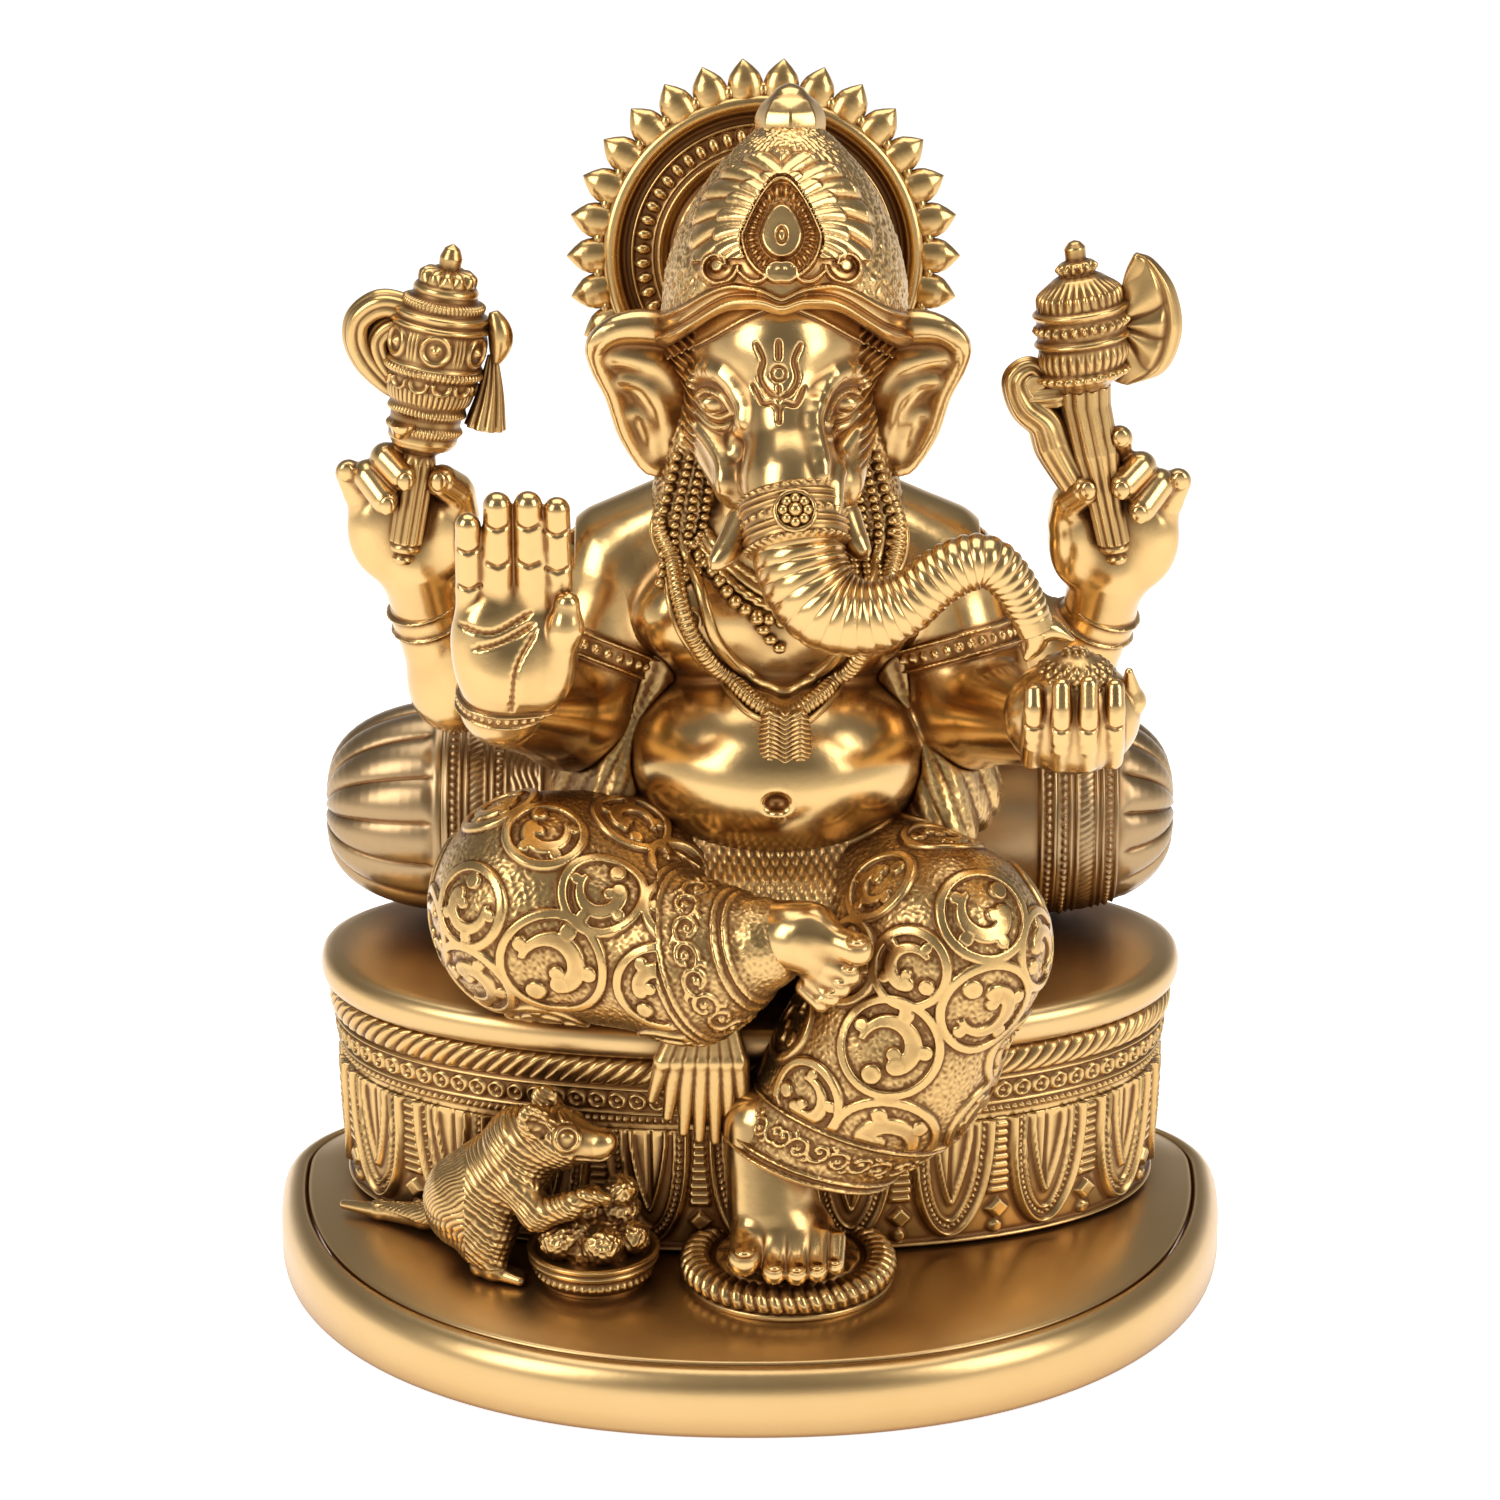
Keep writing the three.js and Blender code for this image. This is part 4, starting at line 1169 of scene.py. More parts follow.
TRUNK = [
    (8, -32, 191.5), (9, -36, 185.4), (10, -40, 178.2), (12.3, -43, 172.9), (16.9, -45, 169),
    (23.5, -46, 168.2), (30.8, -46, 171), (36.8, -46, 176), (42.1, -46, 179.1), (47.3, -46, 179.6),
    (51.7, -46, 176), (54.8, -46, 170.8), (57.2, -46.4, 165.4),
]
TRUNK_RADII = [9.4, 9.4, 9.3, 9.2, 8.9, 7.7, 6.7, 5.9, 5.7, 5.6, 4.7, 4.2, 3.7]


def make_trunk():
    """The trunk, ringed with wrinkles that get closer towards its two lips."""
    rows = 520
    path = curve(TRUNK, rows)
    run = length(np.diff(path, axis=0)).sum()
    first_pitch, narrowing = 2.9, 1.3

    def wrinkles(s, a):
        share_of_run = s / run
        pitch = first_pitch - narrowing * share_of_run
        phase = TAU * np.log(pitch / first_pitch) * -run / narrowing
        wave = np.abs(np.sin((phase + 0.5 * np.sin(2 * a + share_of_run * 9)) / 2))
        under = 0.45 + 0.55 * smooth_step(-0.9, 0.2, np.cos(a + 0.5))
        fade = smooth_step(0.05, 0.12, share_of_run) * (1 - smooth_step(0.93, 0.98, share_of_run))
        return (0.62 * wave**0.8 - 0.35) * under * fade * pitch / 2.4

    trunk = sweep(path, taper(rows, TRUNK_RADII), 96, shape=wrinkles)
    tip = path[-1]
    upper = curve([tip, tip + (3.4, -0.4, 0.2), (64.6, -47, 163.6)], 14)
    upper_radii = np.linspace(3.3, 0.5, 14)
    upper_radii[0] *= 0.9
    lower = curve([tip, tip + (-0.4, -0.4, -3.0), (55.0, -46.6, 159.4)], 14)
    lips = [sweep(upper, upper_radii, 16), sweep(lower, np.linspace(3.4, 0.6, 14), 16)]
    return link_grids("trunk_cast", [trunk, *lips])


def make_trunk_band():
    """The jewelled band round the top of the trunk, with a flower on its front."""
    a, b = (np.float64(p) for p in BAND_AXIS)
    axis = unit(b - a)
    total = np.linalg.norm(b - a)
    rows = 100
    path = np.stack([a + axis * s for s in np.linspace(0, total, rows)])

    def shape(s, angle):
        rise = 0.8 * bump(s - 0.9, 1.0) * (0.6 + 0.4 * np.cos(angle * 34 + s * 2))
        rise += 0.5 * bump(s - 2.6, 0.6) + 0.5 * bump(s - 4.0, 0.6)
        rise += 0.7 * bump(s - 6.0, 1.0) * (0.55 + 0.45 * np.cos(angle * 26))
        rise += 0.5 * bump(s - 8.0, 0.6) + 0.5 * bump(s - 9.4, 0.6)
        return rise + 0.8 * bump(s - total + 1.0, 0.9) * (0.6 + 0.4 * np.cos(angle * 34))

    band = sweep(path, 10.4 - 1.2 * np.linspace(-1, 1, rows) ** 8, 220, shape=shape)
    out = np.cross(axis, (1, 0, 0))
    front = a + axis * (total * 0.57) + out * 11.2
    u = np.array((1.0, 0, 0))
    v = np.cross(out, u)

    def round_front(turn, radius):
        return front + (u * math.cos(turn) + v * math.sin(turn)) * radius

    flower = [round_front(TAU * k / 8, 2.4) + out * 0.3 + UNIT_BEAD * 1.15 for k in range(8)]
    flower.append(front + out * 0.7 + UNIT_BEAD * 1.5)
    edge = [round_front(turn, 4.0) for turn in np.linspace(0, TAU, 13)]
    flower.append(rope(curve(edge, 60), 0.55, 1.6, up=out))
    return link_grids("trunk_band_cast", [band, *flower])


# ---------------------------------------------------------------- crown

crown_dome = union(
    4,
    limb((7, -0.6, 217), (7.4, 1, 226), 25.2, 23.6),
    limb((7.4, 1, 226), (8, 4, 237), 23.6, 17.8),
    limb((8, 4, 237), (8.2, 8, 247), 17.8, 9.4),
)


def crown_rim(x, y):
    """The crown's lower edge, as a height in the plane that leans back with the brow."""
    side = np.abs(x - CROWN_X)
    front = -15 - 1.4 * np.exp(-((side / 3) ** 2)) - 5.8 * smooth_step(9, 24, side)
    return front + (-21.5 - front) * smooth_step(-6, 8, y)


def brow_height(p):
    """How high a point stands in the plane that leans back with the brow, from the centre of the jewel."""
    return 0.94 * p[:, 2] + 0.342 * p[:, 1] - 219.0


def make_crown():
    """The crown: a rolled rim, a pitted dome, and a jewel in front among feathers and scrolls."""

    def height(p):
        x, y, z = p.T
        u, w = x - CROWN_X, brow_height(p)
        side = np.abs(u)
        front = smooth_step(4, 0, y)
        edge = w - crown_rim(x, y)
        tall = np.interp(side, [0, 9, 16, 22], [3.0, 4.4, 5.4, 5.8])
        rise = 1.6 * bump(edge - 1.3, 1.5) + 1.0 * bump(edge - tall, 0.9)
        rise -= 0.6 * bump(edge - 3.0, 0.6) * (side > 5)
        field_of_crown = smooth_step(0.6, 1.2, edge - tall)
        tear = np.hypot(u * (1 + 0.05 * np.clip(w, 0, 10)), w * np.where(w > 0, 0.68, 0.84))
        angle = np.arctan2(w, u)
        gem = 2.0 * smooth_step(4.6, 3.8, tear) - 0.7 * bump(np.hypot(u, (w + 0.4) * 0.6) - 0.9, 0.45)
        ring = 1.9 * bump(tear - 6.1, 1.5) * (0.6 + 0.4 * np.cos(angle * 30)) + 1.4 * bump(tear - 7.9, 0.7)
        r = np.hypot(u, w + 0.5)
        bent = np.arctan2(w + 3, side) + 0.045 * (r - 9)
        outside = (tear > 8.5) * (w > -5)
        first, second = np.abs(np.sin(bent * 11)), np.abs(np.cos(bent * 11))
        inner = smooth_step(13.4, 12.8, r - 0.7 * first) * (0.5 + 1.2 * first**0.7)
        outer = smooth_step(18.2, 17.4, r - 0.9 * second) * (0.2 + 1.1 * second**0.7)
        feathers = outside * np.maximum(inner, outer)
        du, dw = side - 13.0, w + 6.2
        curl = np.hypot(du, dw)
        turn = np.mod(np.arctan2(dw, -du) / TAU, 1)
        volute = 1.8 * bump(curl - 1.6 - 2.6 * turn, 0.95) * (curl < 4.9) + 1.7 * smooth_step(1.5, 0.9, curl)
        arc = dw - 2.6 * np.sin((side - 9) / 7.5 * math.pi) + 1
        stem = 1.5 * bump(arc, 1.0) * (side > 3) * (side < 9.2) * (w < 0)
        knob = 1.6 * smooth_step(2.9, 2.2, np.hypot(np.abs(u) - 0.9, (w + 7.8) * 1.15))
        plaque = np.max([gem, ring * (w > -9), feathers, volute, stem, knob], 0)
        round_crown = np.arctan2(y - 4, x - 8)
        stipple = 0.24 * np.abs(np.sin(round_crown * 20 + z * 0.7) * np.sin(round_crown * 20 - z * 0.7))
        stipple = stipple + 0.16 * grain(p, 2.4)
        plain = (r > 18) | (y > 4)
        return rise + field_of_crown * (plaque * front + stipple * np.where(plain, 1, 0.1))

    def below(p):
        return brow_height(p) - crown_rim(p[:, 0], p[:, 1])

    return sculpt_node("crown", cut(0.6, emboss(crown_dome, height, 3.0), below), 4, 0.3)


def make_finial():
    def shape(h, angle, r):
        collar = 0.8 * np.abs(np.cos(angle * 8)) * bump(h - 2.4, 2.4)
        flat_side = np.cos(math.pi / 8) / np.cos(np.mod(angle, TAU / 8) - math.pi / 8) - 1
        facets = 0.8 * r * flat_side * smooth_step(5.4, 6.6, h) * (1 - smooth_step(11.4, 14.0, h))
        return collar + facets

    a, b = (8.2, 9, 247.4), (8.2, 12, 265)
    profile = [
        (7.0, 0), (7.9, 1.0), (8.0, 1.8), (7.2, 2.4), (7.7, 3.2), (7.9, 4.2), (6.8, 4.9), (6.5, 5.4),
        (7.0, 6.2), (7.3, 7.6), (7.2, 9.4), (6.5, 11.2), (5.2, 12.8), (3.9, 13.8), (3.4, 14.5), (2.6, 15.3),
        (1.3, 16.0), (0.1, 16.3),
    ]
    return link_grids("crown_finial_cast", [turned_rows(a, b, curve(profile, 70), 112, shape)])


# ---------------------------------------------------------------- halo

HALO_LOW, HALO_HIGH = node_box("halo")
HALO_CENTRE = (HALO_LOW + HALO_HIGH) / 2
HALO_LEAN = math.radians(9)
HALO_THICK = 2.8
HALO_TIP = (HALO_HIGH[0] - HALO_LOW[0]) / 2
PETALS = 30


def lean_back(x, y, z):
    """Points of an upright disc, y measured from its front towards the back, leaned back about its centre."""
    c, s = math.cos(HALO_LEAN), math.sin(HALO_LEAN)
    y = y - HALO_THICK / 2
    return np.stack([HALO_CENTRE[0] + x, HALO_CENTRE[1] + y * c + z * s, HALO_CENTRE[2] + z * c - y * s], -1)


def make_halo():
    """The halo: a chased disc in a round rim, thirty petals on the rim and a bud in each gap between them."""
    angle = np.arange(900) / 900 * TAU
    rr, aa = np.meshgrid(np.linspace(0.4, 33.6, 150), angle, indexing="ij")
    rise = 1.8 * np.sqrt(np.clip(1 - ((rr - 31.9) / 1.9) ** 2, 0, 1)) + 0.9 * bump(rr - 27.5, 0.6)
    rise += 0.9 * bump(rr - 21.8, 1.1) + 0.5 * bump(rr - 23.2, 0.4)
    count = 52
    slot = (np.mod(aa * count / TAU, 1) - 0.5) * TAU / count * rr
    leaf = np.clip(1 - (slot / 1.15) ** 2 - ((rr - 25.3) / 1.7) ** 2, 0, 1) ** 0.5
    rays = np.abs(np.sin(aa * 22)) ** 0.7 * smooth_step(11, 12, rr) * smooth_step(18.4, 17.8, rr)
    flower = np.abs(np.cos(aa * 6)) * smooth_step(10, 4, rr) * 0.7
    rise += 1.3 * leaf + 0.9 * rays + flower
    rise -= 0.9 * bump(rr - 29.2, 1.3) + 0.8 * bump(rr - 19.6, 1.2)
    face = lean_back(rr * np.sin(aa), 1.1 - rise, rr * np.cos(aa))
    rr, aa = np.meshgrid(np.array([33.8, 33.6, 31, 16, 0.4]), angle, indexing="ij")
    y = np.array([1.4, *[HALO_THICK] * 4])[:, None] + 0 * aa
    grids = [np.concatenate([face, lean_back(rr * np.sin(aa), y, rr * np.cos(aa))])]
    rows, widest = 26, 3.8
    shares = [0.75, 0.96, 1, 0.96, 0.82, 0.5, 0.22, 0.02]
    width = (widest * taper(rows, shares, [0, 0.15, 0.35, 0.5, 0.66, 0.82, 0.93, 1]))[:, None]
    around = np.arange(28) / 28 * TAU
    across = width * np.cos(around)
    forward = np.sin(around) * np.where(np.sin(around) > 0, 2.5, 0.9) * (width / widest) ** 0.7
    radius = (32.2 + (HALO_TIP - 32.3) * np.linspace(0, 1, rows))[:, None] + 0 * across
    for k in range(PETALS):
        turn = (k + 0.5) * TAU / PETALS
        x = radius * math.sin(turn) + across * math.cos(turn)
        z = radius * math.cos(turn) - across * math.sin(turn)
        grids.append(lean_back(x, 1.9 - forward, z))
        bud_turn = k * TAU / PETALS
        bud = UNIT_BEAD * (1.2, 1.2, 1.7) + (34.6 * math.sin(bud_turn), 1.3, 34.6 * math.cos(bud_turn))
        grids.append(lean_back(*np.moveaxis(bud, -1, 0)))
    return link_grids("halo_cast", grids)


def make_halo_screw():
    low, high = node_box("halo_screw")
    x, z = (low[0] + high[0]) / 2, (low[2] + high[2]) / 2
    head = [(0.1, high[1]), (3.6, high[1]), (4.6, high[1] - 0.9), (4.6, high[1] - 3.4), (0.1, high[1] - 3.4)]

    def slot(h, t, r):
        return -0.8 * bump(r * np.sin(t), 0.7) * (r < 4.2) * (h > high[1] - 0.5)

    shank = [(0.1, low[1] + 0.1), (2.6, low[1] + 0.6), (3, high[1] - 3.6), (0.1, high[1] - 3.5)]
    return link_grids(
        "halo_screw_head",
        [
            turned_rows((x, 0, z), (x, 1, z), head[::-1], 64, slot, 0.2),
            turned_rows((x, 0, z), (x, 1, z), shank, 32),
        ],
    )


def make_halo_bracket():
    low, high = node_box("halo_bracket")
    x, z = (low[0] + high[0]) / 2, (low[2] + high[2]) / 2
    near, far = low[1], high[1]
    profile = [(0.1, near - 3), (5.4, near - 2), (5.6, far - 2), (5.9, far - 1), (5.6, far), (0.1, far)]
    return link_grids("halo_bracket_cast", [turned_rows((x, 0, z), (x, 1, z), profile, 48)])


# ---------------------------------------------------------------- what the hands hold


def ringed(h, rows):
    """Ridges round a turned piece; rows holds (height, half width, rise)."""
    return np.max([rise * bump(h - at, width) for at, width, rise in rows], 0)


def make_goad():
    """The goad: a drum with a domed top, a coiled loop on one side and a fluted pennant on the other."""
    a, b = np.float64((-72.4, 1.5, 164)), np.float64((-60.6, 6.5, 231.6))
    profile = [
        (0.1, 0), (1.8, 0.2), (2.4, 1.2), (1.8, 2.2), (3.2, 3.0), (3.3, 3.8), (3.0, 4.6), (3.3, 24),
        (7.2, 27), (7.4, 33), (8.6, 37), (9.6, 42), (9.8, 52), (8.8, 54.5), (7.6, 56.5), (6.4, 58),
        (5.8, 60.5), (4.6, 62.4),
        (2.2, 63.2), (2.4, 65.4), (1.6, 67.4), (0.1, 68.4),
    ]

    def shape(h, t, r):
        fine = np.abs(np.sin(t * 30))
        plain = [(26, 1.0, 0.4), (53.6, 1.2, 0.9), (51.6, 0.9, 0.8), (58.8, 1.6, 0.6), (43.4, 0.7, 0.5)]
        twisted = [(29.6, 1.3, 0.8), (33.4, 1.3, 0.8), (42.2, 1.5, 1.0), (56, 1.2, 0.9)]
        rims = [ringed(h, plain), ringed(h, twisted) * (0.45 + 0.55 * fine)]
        crowned = 1.0 * bump(h - 61.6, 2.0) * np.abs(np.cos(t * 6))
        spot = (np.mod(t * 6 / TAU, 1) - 0.5) * TAU / 6 * 9.8
        r2 = np.hypot(spot, h - 47.6)
        rings = np.maximum(0.9 * bump(r2 - 2.9, 0.8), 0.9 * bump(r2, 1.5)) * bump(h - 47.6, 6)
        bars = 0.6 * bump(h - 47.6, 3.6) * bump(np.abs(np.abs(spot) - 4.7) - 0.5, 0.5)
        scale = (np.mod(t * 12 / TAU, 1) - 0.5) * TAU / 12 * 9.2
        scallop = 0.8 * bump(np.hypot(scale, h - 40.2) - 1.8, 0.6) * (h < 40.4) * (h > 35)
        flutes = 0.4 * np.abs(np.sin(t * 24)) * smooth_step(35, 36, h) * smooth_step(39, 38, h)
        handle = 0.5 * np.abs(np.sin(t * 5)) * (h > 4.6) * smooth_step(24, 22, h)
        return np.max([*rims, crowned, rings, bars, scallop, flutes, handle], 0)

    def ribs(s, t):
        return 0.5 * np.abs(np.cos(t * 3))

    def flutes_of_cloth(s, t):
        return 0.6 * np.abs(np.cos(t * 5)) - 0.3

    loop = [
        (-68, 5.4, 217), (-75, 6, 218.6), (-79.8, 6.4, 215.8), (-80.8, 6.6, 211.2), (-78.8, 6.4, 206.4),
        (-75, 6, 202), (-71.4, 5.6, 199.6),
    ]
    loop_radii = taper(90, [2.4, 2.8, 2.6, 1.5], [0, 0.25, 0.7, 1])
    inner_loop = [(-68, 5, 213.4), (-73.4, 5, 214), (-76.2, 5.2, 211.4), (-75.6, 5.2, 207.6), (-72.4, 5, 203)]
    drop = curve([(-52.6, 4.4, 217.4), (-51.2, 4, 212), (-52.2, 4, 206.6)], 40)
    pennant = curve([(-53.0, 5, 208), (-53.6, 4.6, 200), (-54.8, 4.6, 192.6)], 60)
    return link_grids(
        "goad_cast",
        [
            turned_rows(a, b, profile, 240, shape, 0.26),
            sweep(curve(loop, 90), loop_radii, 48, shape=ribs),
            sweep(curve(inner_loop, 60), np.full(60, 2.0), 40, shape=ribs),
            sweep(drop, 2.6 * np.sin(np.linspace(0.25, math.pi - 0.2, 40)) ** 0.7, 24),
            sweep(pennant, np.linspace(0.8, 4.2, 60) * np.r_[np.ones(59), 0.5], 60, shape=flutes_of_cloth),
        ],
    )


def axe_blade():
    """The crescent blade, fluted on its front from the neck to a rolled edge, as one grid of points."""
    rows, columns = 150, 70
    outer = curve([(78.0, 201.4), (85.6, 204.6), (88.8, 213), (87.2, 222), (82.8, 228), (79.2, 229.6)], rows)
    inner = curve([(75.0, 202.4), (75.2, 208), (75.4, 213), (75.8, 219), (76.8, 225), (78.4, 229.0)], rows)
    across = np.linspace(0, 1, columns)[:, None]
    x, z = np.moveaxis(inner[:, None] * (1 - across) + outer[:, None] * across, -1, 0)
    d = across.T
    middle = (1 - np.abs(2 * np.linspace(0, 1, rows) - 1))[:, None] ** 0.4
    fan = np.arctan2(z - 214, x - 75) + 0.25 * np.sin(d * 3)
    wave = 1.2 * bump(d - 0.86, 0.14) + 1.1 * np.abs(np.sin(fan * 4.5)) * smooth_step(0.8, 0.64, d)
    thick = 1.9 * np.sin(np.clip(d * 0.96 + 0.02, 0, 1) * math.pi) ** 0.4 * (0.35 + 0.65 * middle)
    front = np.stack([x, 5.6 - thick - wave * middle, z], -1)
    back = np.stack([x, 5.6 + thick, z], -1)
    return np.concatenate([front, back[:, ::-1]], 1)


def make_axe():
    """The axe: a turned head on a fluted handle, with a crescent blade and a scrolled bracket."""
    a, b = np.float64((76.6, 1.5, 164)), np.float64((65.6, 6.5, 232.4))
    profile = [
        (0.1, 0), (1.8, 0.2), (2.4, 1.2), (1.8, 2.2), (3.0, 3.0), (3.1, 3.8), (2.7, 4.4), (2.9, 12),
        (3.4, 18), (4.4, 24), (4.7, 38), (7.8, 39.6), (9.2, 40.4), (9.2, 41.5), (8.4, 42.3), (9.0, 47.2),
        (9.3, 50.5), (9.2, 53.8), (8.2, 57.9), (5.2, 61.2), (3.6, 62), (3.4, 64.4), (2.1, 65), (2.2, 67.4),
        (1.2, 68.6), (0.1, 69),
    ]

    def shape(h, t, r):
        flutes = 0.7 * np.abs(np.cos(t * 15)) * (bump(h - 44.6, 3.0) + bump(h - 57.9, 3.6))
        flutes = flutes + 0.7 * np.abs(np.cos(t * 5)) * smooth_step(39, 37.6, h) * (h > 4.2)
        plain = ringed(h, [(48.4, 1.1, 0.9), (54.4, 1.2, 1.0)])
        beaded = ringed(h, [(51.4, 1.3, 1.0), (41, 0.9, 0.7)]) * (0.45 + 0.55 * np.cos(t * 28))
        beaded = np.maximum(beaded, 1.0 * bump(h - 63.2, 1.5) * (0.5 + 0.5 * np.cos(t * 14)))
        return np.max([flutes, plain, beaded], 0)

    head = turned_rows(a, b, profile, 220, shape, 0.26)
    bend = np.interp(head[..., 2], [164, 198, 214, 232], [0, -2.0, -0.3, 0.6])
    head[..., 0] += bend  # the handle leans a little at its middle
    hook = [
        (60.4, 5, 203.2), (57.6, 5, 205.2), (55.0, 5, 202.6), (57, 5.2, 197.4), (61.2, 5.2, 193.6),
        (63.4, 5, 188), (68, 4, 180),
    ]
    hook_radii = taper(120, [1.6, 2.6, 3.6, 4.0, 3.2], [0, 0.2, 0.45, 0.7, 1])
    leaf = [(57.6, 4.4, 199), (62, 4.2, 199.6), (67, 4.6, 200.4), (71, 5, 201)]
    leaf_radii = taper(60, [1.8, 2.6, 2.0], [0, 0.4, 1])

    def ribs(s, t):
        return 0.5 * np.abs(np.cos(t * 4))

    eye = [(0.1, 0.2), (2.2, 0.4), (3.0, 1.4), (3.2, 5), (0.1, 5)]
    return link_grids(
        "axe_cast",
        [
            head,
            axe_blade(),
            sweep(curve(hook, 120), hook_radii, 56, shape=ribs),
            sweep(curve(leaf, 60), leaf_radii, 40, shape=ribs),
            turned_rows((58.6, 2.2, 202), (58.6, 8, 202), eye, 40),
        ],
    )


def make_modak():
    """The round sweet, covered in scales and with a small flower on top."""

    def shape(h, t, r):
        scales = 0.55 * np.abs(np.sin(t * 9 + h * 1.3) * np.sin(t * 9 - h * 1.3)) * smooth_step(18, 16.6, h)
        flower = 0.9 * np.abs(np.cos(t * 4)) * bump(r - 1.8, 1.6) * (h > 16) + 0.6 * smooth_step(0.9, 0.4, r)
        return scales + flower

    profile = [
        (0.1, 0), (5, 0.6), (8, 3), (9.4, 7.4), (9.2, 11.6), (7.6, 15.2), (4.6, 17.8), (2.4, 18.8),
        (0.1, 19.2),
    ]
    rows = turned_rows((65.2, -43, 141), (65.2, -43, 199), curve(profile, 60), 160, shape, 0.3)
    return link_grids("modak_cast", [rows])


# ---------------------------------------------------------------- jewellery on the body


def laid(field, points, count, lift):
    """A curve that follows a surface, through points given as (x, z) seen from the front."""
    near = settle(field, np.float32(curve(land_line(field, points), count)), 3.0)
    _, normals = gradient(field, near, 0.4)
    return near + normals / length(normals)[:, None] * lift


def make_garland():
    """The long garland: a ribbed rope with a thin edging outside it and a plain strand inside it."""
    middle = [
        (-14.6, 181), (-18.4, 174), (-15.6, 166), (-11.6, 153.6), (-5.6, 145), (1.6, 139.4), (7.4, 137.8),
        (13, 139.6), (19.2, 144.6), (23.4, 151), (28, 162), (30.6, 172), (26.6, 181),
    ]
    inner = [
        (-11.6, 180), (-14.6, 173), (-11.4, 164.6), (-7.4, 153.6), (-2.6, 146.4), (3.2, 142), (7.4, 141.2),
        (11.6, 142.4), (16.2, 146.6), (20, 153), (24.6, 163), (27, 172), (23.6, 180),
    ]
    outer = [(x - 1.7 if x < 6 else x + 1.7, z - 1.2) for x, z in middle]

    def ribs(s, t):
        return 0.42 * np.abs(np.sin(s * TAU / 2.5)) - 0.25

    return link_grids(
        "garland_cast",
        [
            sweep(laid(body_and_neck, middle, 600, 0.8), np.full(600, 1.75), 20, shape=ribs),
            sweep(laid(body_and_neck, outer, 300, 0.1), np.full(300, 0.75), 10),
            sweep(laid(body_and_neck, inner, 400, 0.4), np.full(400, 1.3), 14),
        ],
    )


def make_pendant():
    """The three-lobed pendant below the garland, with a ribbed face."""
    centre = land(body_and_neck, 7.2, 135.2)
    lobes = []
    for dx, dz, lean in [(-3.4, 0.4, 0.5), (0, -1.6, 0), (3.4, 0.4, -0.5)]:
        top = centre + np.float32((dx * 0.8, -0.8, 3.6))
        low = centre + np.float32((dx + lean, -0.6, dz - 4.0))
        lobes.append(limb(top, low, 1.9, 2.5))
    fan = union(0.4, *lobes)

    def height(p):
        q = p - centre
        return 0.42 * np.abs(np.sin((q[:, 2] + 0.5 * np.abs(np.abs(q[:, 0]) - 3.2)) * 3.1))

    return sculpt("pendant_cast", emboss(fan, height), centre - 11, centre + 11, 0.24)


def make_collar():
    """Rows of beads below the trunk, the chain that hangs from them, and the strands beside the ears."""
    grids = []
    strands = [(0, 1.0, "rope"), (2.3, 1.15, "plain"), (4.6, 1.0, "rope"), (7.0, 1.4, "beads")]
    for drop, radius, kind in strands:
        right_end, left_end = (-9 - drop * 0.5, 173 - drop * 0.3), (20, 172 - drop * 0.3)
        middle = [(-4, 167.6 - drop), (6, 162.6 - drop), (15, 165.6 - drop)]
        path = laid(body_and_neck, [right_end, *middle, left_end], 220, 0.9)
        if kind == "beads":
            grids += beads(path, radius, 2.6)
        elif kind == "rope":
            grids.append(rope(path, radius, 2.4))
        else:
            grids.append(sweep(path, np.full(220, radius), 12))
    grids += beads(laid(body_and_neck, [(0.5, 157.4), (3.4, 153), (7, 149.6)], 60, 1.2), 1.5, 2.3, 0.8)
    draped = union(1, skin, locks)
    for side in (-1, 1):
        for k, (radius, spacing) in enumerate([(1.3, 2.3), (1.1, 1.8), (1.1, 1.8), (1.1, 1.8)]):
            x = FIGURE_X + side * (23.4 - 2.5 * k)
            bottom = 162 + 1.5 * (k > 1)
            line = [(x - side * 3.5, 190), (x - side * 1.4, 181), (x, 172), (x + side * 0.4, bottom)]
            grids += beads(laid(draped, line, 80, 0.7), radius, spacing, 0.8)
    return link_grids("collar_cast", grids)


# ---------------------------------------------------------------- base, throne and seat


class Oval:
    """A rounded plan: its front and back halves differ in depth."""

    power = 2.2  # an ellipse's is 2, and a higher one is squarer

    def __init__(self, half_width, front, back, mid_y):
        self.half_width, self.front, self.back, self.mid_y = half_width, front, back, mid_y
        self.fine = np.linspace(-math.pi / 2, 1.5 * math.pi, 20001)
        outline = self.edge(self.fine) * (np.cos(self.fine), np.sin(self.fine))
        self.run = np.concatenate([[0], np.cumsum(np.hypot(*np.diff(outline)))])
        self.around = self.run[-1]

    def edge(self, angle):
        """How far from the middle the edge is at each angle."""
        depth = np.where(np.sin(angle) < 0, self.front, self.back)
        across = np.abs(np.cos(angle) / self.half_width) ** self.power
        along_depth = np.abs(np.sin(angle) / depth) ** self.power
        return (across + along_depth) ** (-1 / self.power)

    def rows(self, profile, columns, step=None, shape=None):
        """Rows of points from a profile of (share of the plan's radius, inset, height).
        shape(distance round the edge, height) raises the surface outwards."""
        profile = np.float64(profile)
        if step:
            run = distance_along(profile[:, 1:])
            profile = points_at(profile, run, np.linspace(0, run[-1], int(run[-1] / step) + 2))
        around = np.arange(columns) / columns * self.around
        angle = np.interp(around, self.run, self.fine)
        edge = self.edge(angle)
        share_of_edge, inset, z = (profile[:, k, None] for k in range(3))
        r = edge * share_of_edge - inset
        z = z + 0 * r
        if shape:
            r = r + shape(around + 0 * r, z)
        return np.stack([r * np.cos(angle), self.mid_y + r * np.sin(angle), z], -1)


def oval_of(node, mid_y):
    """A CAD node's plan, at its widest at mid_y."""
    low, high = node_box(node)
    return Oval((high[0] - low[0]) / 2, mid_y - low[1], high[1] - mid_y, mid_y)


